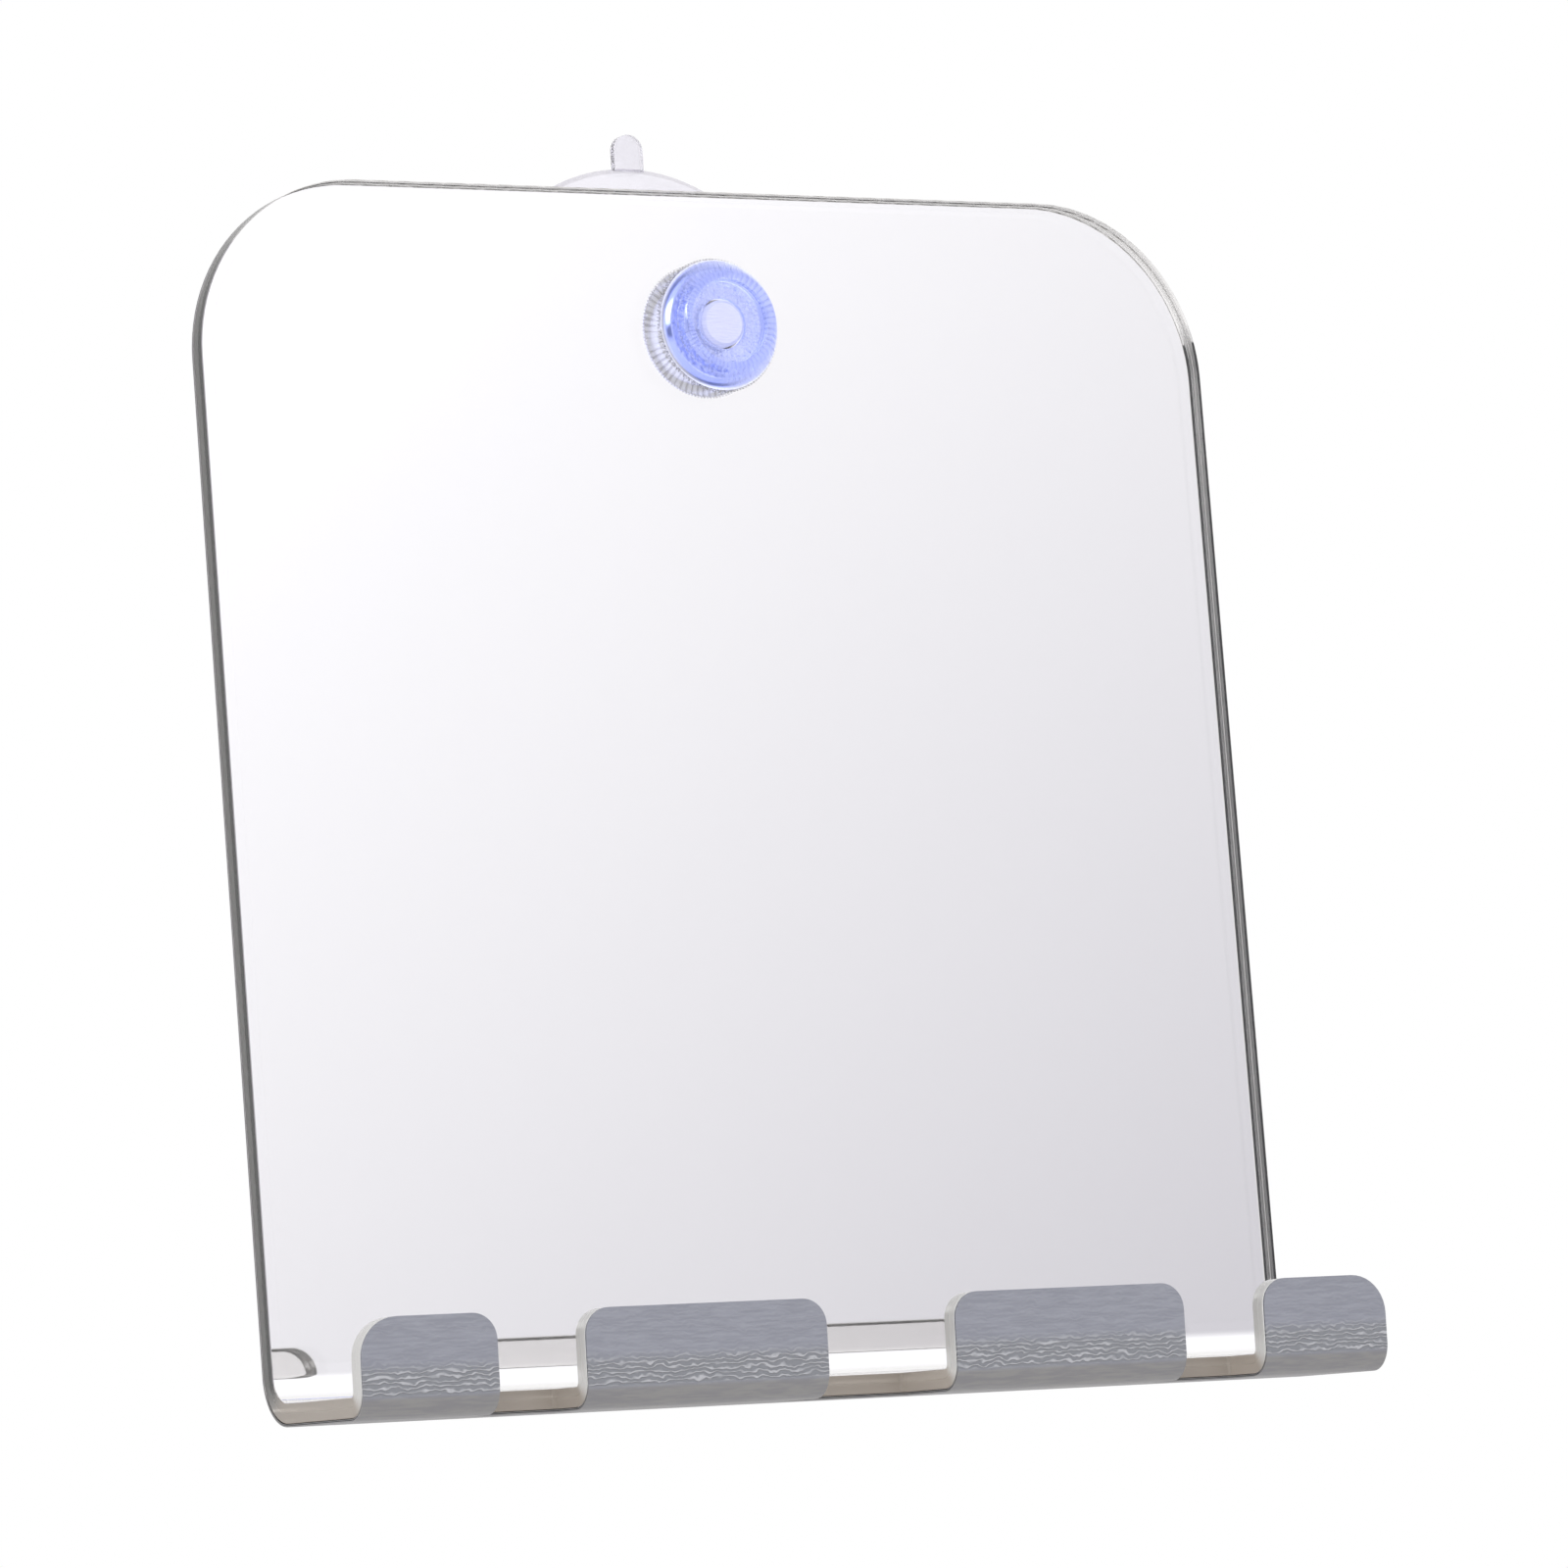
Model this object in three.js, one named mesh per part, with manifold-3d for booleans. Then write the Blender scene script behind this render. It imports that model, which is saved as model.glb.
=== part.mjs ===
// Fogless shower mirror with a razor tray along its foot, held to the tiles by one suction cup.
// Lengths are in millimetres. +X is to the right, +Z is up and the mirror faces -Y.
// The origin is on the axis of the stud, in the plane where the rim of the cup meets the wall.
import * as THREE from 'three';
import { mergeVertices } from 'three/addons/utils/BufferGeometryUtils.js';
import Module from 'manifold-3d';

const wasm = await Module();
wasm.setup();

// Mirror sheet: one clear acrylic blank, cut flat and then bent twice into a J
const SHEET_WIDTH = 178;
const SHEET_HEIGHT = 190.5;
const SHEET_THICKNESS = 3;
const TOP_CORNER_RADIUS = 28;
const STUD_TO_TOP = 21.5;

// Tray at the foot of the sheet: a ledge, and a lip that slots cut into four tabs
const TRAY_DROP_DEG = 2.3;
const REAR_BEND_RADIUS = 7.5;
const FRONT_BEND_RADIUS = 3.8;
const LEDGE_FLAT = 21.4;
const LIP_HEIGHT = 14.3;
const LIP_CORNER_RADIUS = 4;
const OUTER_CORNER_RADIUS = 6;
const END_TAB_WIDTH = 22.3;
const NARROW_SLOT_WIDTH = 14.7;
const WIDE_SLOT_WIDTH = 22.4;
const NARROW_SLOT_DEPTH = 10.8;
const WIDE_SLOT_DEPTH = 16.9;
const SLOT_CORNER_RADIUS = 0.8;

// Thin layers bonded to the sheet: reflective film and grey coat behind, fog-free film in front
const BOND_LINE = 0.1;
const REFLECTIVE_FILM = 0.1;
const GREY_COAT = 0.2;
const FOG_FREE_FILM = 0.1;
const FOG_FREE_INSET = 1.6;
const FOG_FREE_FOOT_RADIUS = 3;

// Suction cup: soft clear moulding with a solid neck and a pull tab on its rim
const CUP_DIAMETER = 61;
const CUP_HEIGHT = 22;
const CUP_BOWL_DEPTH = 9;
const CUP_RIM_LAND = 1.4;
const CUP_RIM_THICKNESS = 0.9;
const CUP_WALL = 3.6;
const NECK_WALL = 2.6;
const NECK_FLARE = 3;
const NECK_FLOOR = 4.6;
const PULL_TAB_WIDTH = 5.2;
const PULL_TAB_REACH = 5.5;
const PULL_TAB_ROOT = 3.2;
const PULL_TAB_THICKNESS = 1.2;
const PULL_TAB_LIFT = 0.2;
const PULL_TAB_LEAN_DEG = 2;

// Stud: its head sits in a pocket in the neck of the cup, its shank passes through the sheet
const STUD_DIAMETER = 7.4;
const STUD_HEAD_DIAMETER = 13;
const STUD_HEAD_THICKNESS = 2.2;
const STUD_END_CHAMFER = 0.5;
const STUD_END_IN_RECESS = 0.4;
const POCKET_CLEARANCE = 0.3;
const STUD_CLEARANCE = 0.35;

// Clamp: a clear toothed washer, and a thumb nut whose domed ring stands round a recess
const CLAMP_GAP = 0.1;
const WASHER_DIAMETER = 21.4;
const WASHER_THICKNESS = 0.5;
const WASHER_TEETH = 120;
const WASHER_TOOTH_DEPTH = 0.5;
const NUT_DIAMETER = 20.7;
const NUT_HEIGHT = 4.1;
const NUT_WIDEST_HEIGHT = 0.3;
const NUT_BACK_INSET = 0.3;
const NUT_THREAD_HEIGHT = 1.5;
const NUT_RECESS_WIDTH = 2.55;
const NUT_RECESS_DROP = 0.35;

// Curves of the cup and the nut, as shares of the width and depth that each one crosses
const DOME_SHOULDER_SHARES = [0.4, 0.28];
const DOME_SKIRT_SHARES = [0.8, 0.62];
const BOWL_SKIRT_SHARES = [0.25, 0.55];
const BOWL_CROWN_SHARES = [0.6, 1];
const RING_CREST_SHARE = 0.27;
const RING_SHOULDER_SHARES = [0.25, 0];
const RING_SIDE_SHARES = [0.7, 0.62];

// Cuts run past the faces that they leave by this much
const OVERRUN = 4;
const BEND_STEPS = 5;
const CORNER_STEPS = 10;
const TAB_CORNER_STEPS = 4;
const SLOT_CORNER_STEPS = 2;
const ROUND_STEPS = 64;
const CURVE_STEPS = 6;

// The sheet's place: depths are measured from the wall towards the viewer
const coatDepth = CUP_HEIGHT + CLAMP_GAP;
const sheetDepth = coatDepth + GREY_COAT + REFLECTIVE_FILM + 2 * BOND_LINE;
const faceDepth = sheetDepth + SHEET_THICKNESS;
const filmFaceDepth = faceDepth + BOND_LINE + FOG_FREE_FILM;
const washerDepth = filmFaceDepth + CLAMP_GAP;
const nutDepth = washerDepth + WASHER_THICKNESS + CLAMP_GAP;
const studEndDepth = nutDepth + NUT_THREAD_HEIGHT + STUD_END_IN_RECESS;
const sheetTop = STUD_TO_TOP;
const sheetFoot = STUD_TO_TOP - SHEET_HEIGHT;
const clearanceRadius = STUD_DIAMETER / 2 + STUD_CLEARANCE;

const radians = THREE.MathUtils.degToRad;
const drop = radians(TRAY_DROP_DEG);
const dropSin = Math.sin(drop);
const dropCos = Math.cos(drop);

// Axes of the sheet's side view (towards the viewer, up) and of its front view (right, up)
const toViewer = new THREE.Vector3(0, -1, 0);
const toRight = new THREE.Vector3(1, 0, 0);
const toTop = new THREE.Vector3(0, 0, 1);
const alongLedge = new THREE.Vector3(0, -dropCos, -dropSin);
const offLedge = new THREE.Vector3(0, -dropSin, dropCos);

// Centres of the two bends, as depth in front of the sheet's back face and height
const frontBendUp = sheetFoot + FRONT_BEND_RADIUS;
const bendRise = (REAR_BEND_RADIUS - FRONT_BEND_RADIUS) * dropCos + LEDGE_FLAT * dropSin;
const rearBend = { out: REAR_BEND_RADIUS, up: frontBendUp + bendRise };
const bendRun = LEDGE_FLAT * dropCos - (REAR_BEND_RADIUS - FRONT_BEND_RADIUS) * dropSin;
const frontBend = { out: rearBend.out + bendRun, up: frontBendUp };
const lipFlat = (LIP_HEIGHT - FRONT_BEND_RADIUS * (1 - dropSin)) / dropCos;

function asSolid(geometry) {
  const bare = geometry.index ? geometry.toNonIndexed() : geometry.clone();
  bare.deleteAttribute('normal');
  bare.deleteAttribute('uv');
  const merged = mergeVertices(bare);
  const corners = merged.index.array;
  const kept = [];
  for (let i = 0; i < corners.length; i += 3) {
    const [a, b, c] = corners.slice(i, i + 3);
    if (a !== b && b !== c && c !== a) kept.push(a, b, c);
  }
  const vertProperties = new Float32Array(merged.attributes.position.array);
  const triVerts = new Uint32Array(kept);
  return new wasm.Manifold(new wasm.Mesh({ numProp: 3, vertProperties, triVerts }));
}

function asMesh(name, solid, color, roughness, metalness, opacity = 1) {
  const data = solid.getMesh();
  const geometry = new THREE.BufferGeometry();
  geometry.setAttribute('position', new THREE.BufferAttribute(data.vertProperties, 3));
  geometry.setIndex(new THREE.BufferAttribute(data.triVerts, 1));
  geometry.computeVertexNormals();
  const transparent = opacity < 1;
  const look = { color, roughness, metalness, opacity, transparent };
  const mesh = new THREE.Mesh(geometry, new THREE.MeshStandardMaterial(look));
  mesh.name = name;
  return mesh;
}

// Extrudes a flat shape drawn on two world axes, from a start point, along their normal
function prism(shape, across, upward, start, length, curveSegments = CORNER_STEPS) {
  const normal = new THREE.Vector3().crossVectors(across, upward);
  const settings = { depth: length, bevelEnabled: false, curveSegments };
  const geometry = new THREE.ExtrudeGeometry(shape, settings);
  geometry.applyMatrix4(new THREE.Matrix4().makeBasis(across, upward, normal).setPosition(start));
  return asSolid(geometry);
}

// Turns a profile of radius and y about the stud's axis
function turned(profile) {
  return asSolid(new THREE.LatheGeometry(profile, ROUND_STEPS));
}

// Side view of a layer of the J that lies between two distances outside the sheet's back face.
// The layer starts above the top edge, which the outline of the blank then cuts.
function layerProfile(near, far) {
  const ledgeTurn = 1.5 * Math.PI - drop;
  const lipTurn = 2 * Math.PI - drop;
  const lipEnd = (distance) => {
    const radius = FRONT_BEND_RADIUS + distance;
    const out = frontBend.out + radius * dropCos + lipFlat * dropSin;
    return [out, frontBend.up - radius * dropSin + lipFlat * dropCos];
  };
  const shape = new THREE.Shape();
  shape.moveTo(-far, sheetTop + OVERRUN);
  shape.lineTo(-far, rearBend.up);
  shape.absarc(rearBend.out, rearBend.up, REAR_BEND_RADIUS + far, Math.PI, ledgeTurn, false);
  shape.absarc(frontBend.out, frontBend.up, FRONT_BEND_RADIUS + far, ledgeTurn, lipTurn, false);
  shape.lineTo(...lipEnd(far));
  shape.lineTo(...lipEnd(near));
  shape.absarc(frontBend.out, frontBend.up, FRONT_BEND_RADIUS + near, lipTurn, ledgeTurn, true);
  shape.absarc(rearBend.out, rearBend.up, REAR_BEND_RADIUS + near, ledgeTurn, Math.PI, true);
  shape.lineTo(-near, sheetTop + OVERRUN);
  return shape;
}

function roundedOutline(halfWidth, low, high, topRadius, footRadius) {
  const shape = new THREE.Shape();
  const quarter = Math.PI / 2;
  shape.moveTo(-halfWidth + footRadius, low);
  shape.lineTo(halfWidth - footRadius, low);
  if (footRadius > 0) {
    shape.absarc(halfWidth - footRadius, low + footRadius, footRadius, -quarter, 0, false);
  }
  shape.lineTo(halfWidth, high - topRadius);
  shape.absarc(halfWidth - topRadius, high - topRadius, topRadius, 0, quarter, false);
  shape.absarc(topRadius - halfWidth, high - topRadius, topRadius, quarter, Math.PI, false);
  if (footRadius > 0) {
    const left = footRadius - halfWidth;
    shape.absarc(left, low + footRadius, footRadius, Math.PI, Math.PI + quarter, false);
  }
  return shape;
}

// The edge of the blank, as a prism that reaches from behind the sheet to in front of the tabs
function blankEdge() {
  const low = sheetFoot - OVERRUN;
  const outline = roundedOutline(SHEET_WIDTH / 2, low, sheetTop, TOP_CORNER_RADIUS, 0);
  const reach = frontBend.out + FRONT_BEND_RADIUS + lipFlat + 2 * OVERRUN;
  const start = new THREE.Vector3(0, OVERRUN - sheetDepth, 0);
  return prism(outline, toRight, toTop, start, reach);
}

// Left and right edges of the slots, which leave two end tabs and two long tabs
function slotPlaces() {
  const endSlot = SHEET_WIDTH / 2 - END_TAB_WIDTH - NARROW_SLOT_WIDTH / 2;
  return [
    { centre: -endSlot, width: NARROW_SLOT_WIDTH, depth: NARROW_SLOT_DEPTH },
    { centre: 0, width: WIDE_SLOT_WIDTH, depth: WIDE_SLOT_DEPTH },
    { centre: endSlot, width: NARROW_SLOT_WIDTH, depth: NARROW_SLOT_DEPTH },
  ];
}

// One slot, drawn on the ledge with its blind end towards the mirror, and cut square to the ledge
function slotCutter({ centre, width, depth }) {
  const half = width / 2;
  const length = depth + lipFlat + OVERRUN;
  const shape = new THREE.Shape();
  shape.moveTo(centre - half, length);
  shape.lineTo(centre - half, SLOT_CORNER_RADIUS);
  shape.absarc(centre - half + SLOT_CORNER_RADIUS, SLOT_CORNER_RADIUS, SLOT_CORNER_RADIUS,
    Math.PI, 1.5 * Math.PI, false);
  shape.absarc(centre + half - SLOT_CORNER_RADIUS, SLOT_CORNER_RADIUS, SLOT_CORNER_RADIUS,
    1.5 * Math.PI, 2 * Math.PI, false);
  shape.lineTo(centre + half, length);
  const lipFace = sheetDepth + frontBend.out + FRONT_BEND_RADIUS;
  const blindEnd = new THREE.Vector3(0, depth - lipFace, frontBend.up - FRONT_BEND_RADIUS);
  const above = blindEnd.addScaledVector(offLedge, LIP_HEIGHT + OVERRUN);
  const height = LIP_HEIGHT + 2 * OVERRUN;
  return prism(shape, toRight, alongLedge, above, height, SLOT_CORNER_STEPS);
}

// What rounds one top corner of a tab: the corner of a square less a quarter of a circle.
// side is 1 for a right-hand corner and -1 for a left-hand one.
function tabCornerCutter(edge, side, radius) {
  const shape = new THREE.Shape();
  const middle = edge - side * radius;
  const start = side > 0 ? 0 : Math.PI;
  shape.moveTo(edge + side * OVERRUN, -radius);
  shape.lineTo(edge + side * OVERRUN, OVERRUN);
  shape.lineTo(middle, OVERRUN);
  shape.absarc(middle, -radius, radius, Math.PI / 2, start, side > 0);
  const tip = frontBend.up + lipFlat * dropCos - (FRONT_BEND_RADIUS - SHEET_THICKNESS) * dropSin;
  const tipOut = frontBend.out + lipFlat * dropSin;
  const back = new THREE.Vector3(0, -sheetDepth - tipOut, tip);
  back.addScaledVector(alongLedge, -OVERRUN);
  const reach = FRONT_BEND_RADIUS + 2 * OVERRUN;
  return prism(shape, toRight, offLedge, back, reach, TAB_CORNER_STEPS);
}

function tabEdges() {
  const edges = [-SHEET_WIDTH / 2];
  for (const { centre, width } of slotPlaces()) edges.push(centre - width / 2, centre + width / 2);
  edges.push(SHEET_WIDTH / 2);
  return edges;
}

function studHole() {
  const shape = new THREE.Shape().absarc(0, 0, clearanceRadius, 0, 2 * Math.PI, false);
  const start = new THREE.Vector3(0, OVERRUN - sheetDepth, 0);
  return prism(shape, toRight, toTop, start, SHEET_THICKNESS + 2 * OVERRUN);
}

// A layer of the J, extruded wider than the blank and then trimmed to its edge, slots and hole
function formedLayer(near, far) {
  const start = new THREE.Vector3(SHEET_WIDTH / 2 + OVERRUN, -sheetDepth, 0);
  const width = SHEET_WIDTH + 2 * OVERRUN;
  let layer = prism(layerProfile(near, far), toViewer, toTop, start, width, BEND_STEPS);
  layer = layer.intersect(blankEdge()).subtract(studHole());
  for (const place of slotPlaces()) layer = layer.subtract(slotCutter(place));
  const edges = tabEdges();
  edges.forEach((edge, i) => {
    const outer = i === 0 || i === edges.length - 1;
    const radius = outer ? OUTER_CORNER_RADIUS : LIP_CORNER_RADIUS;
    layer = layer.subtract(tabCornerCutter(edge, i % 2 === 0 ? -1 : 1, radius));
  });
  return layer;
}

function mirrorSheet() {
  return asMesh('mirror_sheet', formedLayer(-SHEET_THICKNESS, 0), 0xeef2f4, 0.05, 0, 0.35);
}

function reflectiveFilm() {
  const near = BOND_LINE;
  const film = formedLayer(near, near + REFLECTIVE_FILM);
  return asMesh('reflective_film', film, 0xe8e9ec, 0.03, 1);
}

function greyCoat() {
  const near = 2 * BOND_LINE + REFLECTIVE_FILM;
  return asMesh('grey_coat', formedLayer(near, near + GREY_COAT), 0x9a9ca3, 0.45, 0);
}

// The fog-free film stops short of the edges, and of the bend at the foot of the mirror
function fogFreeFilm() {
  const half = SHEET_WIDTH / 2 - FOG_FREE_INSET;
  const low = rearBend.up + FOG_FREE_INSET;
  const high = sheetTop - FOG_FREE_INSET;
  const topRadius = TOP_CORNER_RADIUS - FOG_FREE_INSET;
  const shape = roundedOutline(half, low, high, topRadius, FOG_FREE_FOOT_RADIUS);
  const start = new THREE.Vector3(0, -faceDepth - BOND_LINE, 0);
  const film = prism(shape, toRight, toTop, start, FOG_FREE_FILM).subtract(studHole());
  return asMesh('fog_free_film', film, 0xf4f6fb, 0.08, 0, 0.2);
}

// Sizes of the cup's neck, set by the head of the stud that it holds
function neck() {
  const pocketRadius = STUD_HEAD_DIAMETER / 2 + POCKET_CLEARANCE;
  const pocketFloor = CUP_BOWL_DEPTH + NECK_FLOOR;
  const headBack = pocketFloor + POCKET_CLEARANCE;
  const headFace = headBack + STUD_HEAD_THICKNESS;
  const pocketMouth = headFace + POCKET_CLEARANCE;
  return { pocketRadius, pocketFloor, pocketMouth, headBack, headFace, radius: pocketRadius + NECK_WALL };
}

// Takes a path from the mouth of the bowl, at the wall, to the middle of its crown
function curveIntoBowl(path) {
  const mouth = CUP_DIAMETER / 2 - CUP_RIM_LAND;
  const inBowl = ([inwards, deep]) => [mouth * (1 - inwards), -deep * CUP_BOWL_DEPTH];
  path.lineTo(mouth, 0);
  path.bezierCurveTo(...inBowl(BOWL_SKIRT_SHARES), ...inBowl(BOWL_CROWN_SHARES),
    0, -CUP_BOWL_DEPTH);
}

// The cup's profile, from the floor of the pocket round the neck and the dome into the bowl
function cupProfile() {
  const { pocketRadius, pocketFloor, pocketMouth, radius } = neck();
  const rim = CUP_DIAMETER / 2;
  const shoulder = CUP_BOWL_DEPTH + CUP_WALL;
  const domeWidth = rim - radius - NECK_FLARE;
  const domeDrop = shoulder - CUP_RIM_THICKNESS;
  const onDome = ([out, down]) => [
    radius + NECK_FLARE + out * domeWidth,
    down * domeDrop - shoulder,
  ];
  const path = new THREE.Path();
  path.moveTo(0, -pocketFloor);
  path.lineTo(pocketRadius, -pocketFloor);
  path.lineTo(pocketRadius, -pocketMouth);
  path.lineTo(clearanceRadius, -pocketMouth);
  path.lineTo(clearanceRadius, -CUP_HEIGHT);
  path.lineTo(radius, -CUP_HEIGHT);
  path.lineTo(radius, -shoulder - NECK_FLARE);
  path.quadraticCurveTo(radius, -shoulder, radius + NECK_FLARE, -shoulder);
  path.bezierCurveTo(...onDome(DOME_SHOULDER_SHARES), ...onDome(DOME_SKIRT_SHARES),
    rim, -CUP_RIM_THICKNESS);
  path.lineTo(rim, 0);
  curveIntoBowl(path);
  return path.getPoints(CURVE_STEPS);
}

// The tab stands on the rim, a little off the wall and leaning away from it, so a nail gets behind
function pullTab() {
  const half = PULL_TAB_WIDTH / 2;
  const top = PULL_TAB_ROOT + PULL_TAB_REACH - half;
  const shape = new THREE.Shape();
  shape.moveTo(-half, 0);
  shape.lineTo(half, 0);
  shape.absarc(0, top, half, 0, Math.PI, false);
  const lean = radians(PULL_TAB_LEAN_DEG);
  const upward = new THREE.Vector3(0, -Math.sin(lean), Math.cos(lean));
  const start = new THREE.Vector3(0, -PULL_TAB_LIFT, CUP_DIAMETER / 2 - PULL_TAB_ROOT);
  return prism(shape, toRight, upward, start, PULL_TAB_THICKNESS);
}

// Fills the bowl, to trim away the root of the pull tab where it would stand inside
function bowlFiller() {
  const path = new THREE.Path();
  path.moveTo(0, OVERRUN);
  path.lineTo(CUP_DIAMETER / 2 - CUP_RIM_LAND, OVERRUN);
  curveIntoBowl(path);
  return turned(path.getPoints(CURVE_STEPS).reverse());
}

function suctionCup() {
  const tab = pullTab().subtract(bowlFiller());
  return asMesh('suction_cup', turned(cupProfile()).add(tab), 0xf1eff8, 0.2, 0, 0.4);
}

function threadedStud() {
  const { headBack, headFace } = neck();
  const radius = STUD_DIAMETER / 2;
  const head = STUD_HEAD_DIAMETER / 2;
  const profile = [
    [0, -studEndDepth],
    [radius - STUD_END_CHAMFER, -studEndDepth],
    [radius, STUD_END_CHAMFER - studEndDepth],
    [radius, -headFace],
    [head, -headFace],
    [head, -headBack],
    [0, -headBack],
  ];
  const points = profile.map(([out, y]) => new THREE.Vector2(out, y));
  return asMesh('threaded_stud', turned(points), 0xe4e6f4, 0.2, 0, 0.5);
}

// The washer's rim is cut into pointed teeth: its outline steps between tips and valleys
function clampWasher() {
  const tip = WASHER_DIAMETER / 2;
  const valley = tip - WASHER_TOOTH_DEPTH;
  const outline = [];
  for (let i = 0; i < 2 * WASHER_TEETH; i += 1) {
    const angle = i * Math.PI / WASHER_TEETH;
    const radius = i % 2 === 0 ? tip : valley;
    outline.push(new THREE.Vector2(radius * Math.cos(angle), radius * Math.sin(angle)));
  }
  const shape = new THREE.Shape(outline);
  shape.holes.push(new THREE.Path().absarc(0, 0, clearanceRadius, 0, 2 * Math.PI, true));
  const start = new THREE.Vector3(0, -washerDepth, 0);
  const washer = prism(shape, toRight, toTop, start, WASHER_THICKNESS, ROUND_STEPS);
  return asMesh('clamp_washer', washer, 0xeef0f6, 0.25, 0, 0.5);
}

// The nut's profile runs down its bore, across the recess, over the domed ring and in along the back
function nutProfile() {
  const recess = clearanceRadius + NUT_RECESS_WIDTH;
  const widest = NUT_DIAMETER / 2;
  const recessFloor = -nutDepth - NUT_THREAD_HEIGHT;
  const crest = -nutDepth - NUT_HEIGHT;
  const widestAt = -nutDepth - NUT_WIDEST_HEIGHT;
  const crestRadius = recess + RING_CREST_SHARE * (widest - recess);
  const onRing = ([out, down]) => [
    crestRadius + out * (widest - crestRadius),
    crest + down * (widestAt - crest),
  ];
  const path = new THREE.Path();
  path.moveTo(clearanceRadius, -nutDepth);
  path.lineTo(clearanceRadius, recessFloor);
  path.lineTo(recess, recessFloor);
  path.lineTo(recess, crest + NUT_RECESS_DROP);
  path.quadraticCurveTo(recess, crest, crestRadius, crest);
  path.bezierCurveTo(...onRing(RING_SHOULDER_SHARES), ...onRing(RING_SIDE_SHARES), widest, widestAt);
  path.quadraticCurveTo(widest, -nutDepth, widest - NUT_BACK_INSET, -nutDepth);
  path.lineTo(clearanceRadius, -nutDepth);
  return path.getPoints(CURVE_STEPS);
}

function thumbNut() {
  return asMesh('thumb_nut', turned(nutProfile()), 0xa3b0f2, 0.12, 0, 0.75);
}

const foglessMirror = new THREE.Group();
foglessMirror.add(suctionCup(), threadedStud());
foglessMirror.add(mirrorSheet(), reflectiveFilm(), greyCoat(), fogFreeFilm());
foglessMirror.add(clampWasher(), thumbNut());

export default foglessMirror;
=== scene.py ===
"""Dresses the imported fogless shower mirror: sheet, films, suction cup, stud, washer, nut."""

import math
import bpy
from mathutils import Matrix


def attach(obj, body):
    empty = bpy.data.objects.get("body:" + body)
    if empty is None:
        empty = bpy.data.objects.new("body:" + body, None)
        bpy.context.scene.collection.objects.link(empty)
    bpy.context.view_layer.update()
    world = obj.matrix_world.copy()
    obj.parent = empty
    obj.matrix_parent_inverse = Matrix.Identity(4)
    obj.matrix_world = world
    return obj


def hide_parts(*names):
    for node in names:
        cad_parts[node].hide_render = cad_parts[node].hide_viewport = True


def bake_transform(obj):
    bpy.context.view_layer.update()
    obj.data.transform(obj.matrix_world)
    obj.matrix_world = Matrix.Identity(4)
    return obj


bl_info = {
    "name": "Fogless shower mirror",
    "version": (1, 0, 0),
    "blender": (4, 5, 0),
    "location": "3D View > Sidebar > Shower mirror",
    "description": "Builds a small acrylic shower mirror with a razor tray and a suction cup",
    "category": "Object",
}

import bmesh
import bpy
from bpy.props import FloatProperty, FloatVectorProperty, PointerProperty
from mathutils import Matrix, Vector
from mathutils.geometry import interpolate_bezier

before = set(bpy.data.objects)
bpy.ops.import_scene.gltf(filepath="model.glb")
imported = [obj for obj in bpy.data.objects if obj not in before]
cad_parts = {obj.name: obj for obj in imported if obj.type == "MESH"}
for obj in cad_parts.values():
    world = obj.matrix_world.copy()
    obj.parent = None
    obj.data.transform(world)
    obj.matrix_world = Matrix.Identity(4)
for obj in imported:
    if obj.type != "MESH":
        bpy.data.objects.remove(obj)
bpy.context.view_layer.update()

MM = 0.001
SIDEBAR_TAB = "Shower mirror"

# Studio round the object, by direction: how the wall in front fades, and where it is dark
WALL_FADE = (-1.406, -0.541, 1.770)
WALL_LEVEL = 0.836
DARK_SIDE = (-0.494, -0.869, 0.0)
# It eases in between 30 and 16 degrees from its middle
DARK_EDGE = (math.cos(math.radians(30)), math.cos(math.radians(16)))

# Camera, as fitted to the photo: azimuth, elevation and roll in degrees, where it stands, and its
# focal length in pixels of a picture 1600 pixels wide
CAMERA_TURN = (29.60, 7.23, -4.45)
CAMERA_PLACE = (-0.5976, -1.0879, -0.2274)
FOCAL_PIXELS, PICTURE_PIXELS = 8074, 1600
SENSOR_WIDTH = 36  # mm

# Key lamp: where it hangs, what it faces, its size and watts; floor: half its side, its height
KEY_PLACE, KEY_TARGET = (-0.9, -1.4, 0.9), (0, 0, -0.08)
KEY_SIZE, KEY_POWER = 1.0, 7
FLOOR_REACH, FLOOR_HEIGHT = 4.0, -0.32

# Mesh fineness; just outside each bend, HOLD keeps the flats flat with one more row of edges
ROUND_STEPS = 128
WASHER_TEETH = 120
BEND_STEPS = 24
CORNER_STEPS = 24
TAB_CORNER_STEPS = 10
SLOT_CORNER_STEPS = 3
CURVE_POINTS = 18
HOLD = 0.3 * MM
# Edges that turn more than this are drawn sharp
SHARP_ANGLE = math.radians(30)
# How near, in metres, counts as the same place, and as on a cutting plane
NEAR, ON_PLANE = 1e-6, 1e-7
# How little of a face's normal may point along y where the face is a cut edge of a flat blank
LEVEL = 0.5

# Handles of the profiles' curves, as shares of the way across and of the way in depth
QUARTER_ROUND = ((0, 2 / 3), (1 / 3, 1))
CUP_DOME = ((0.4, 0.28), (0.8, 0.62))
CUP_BOWL = ((0.25, 0.55), (0.6, 1))
NUT_DOME = ((0.25, 0), (0.7, 0.62))
# How far across the nut's ring its crest stands
NUT_CREST = 0.27

# Thickness of a film and of the bond under it; chamfer of the stud; rounding of the nut's foot
LAYER = 0.1 * MM
STUD_CHAMFER = 0.5 * MM
FOOT_ROUND = 0.3 * MM

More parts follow.
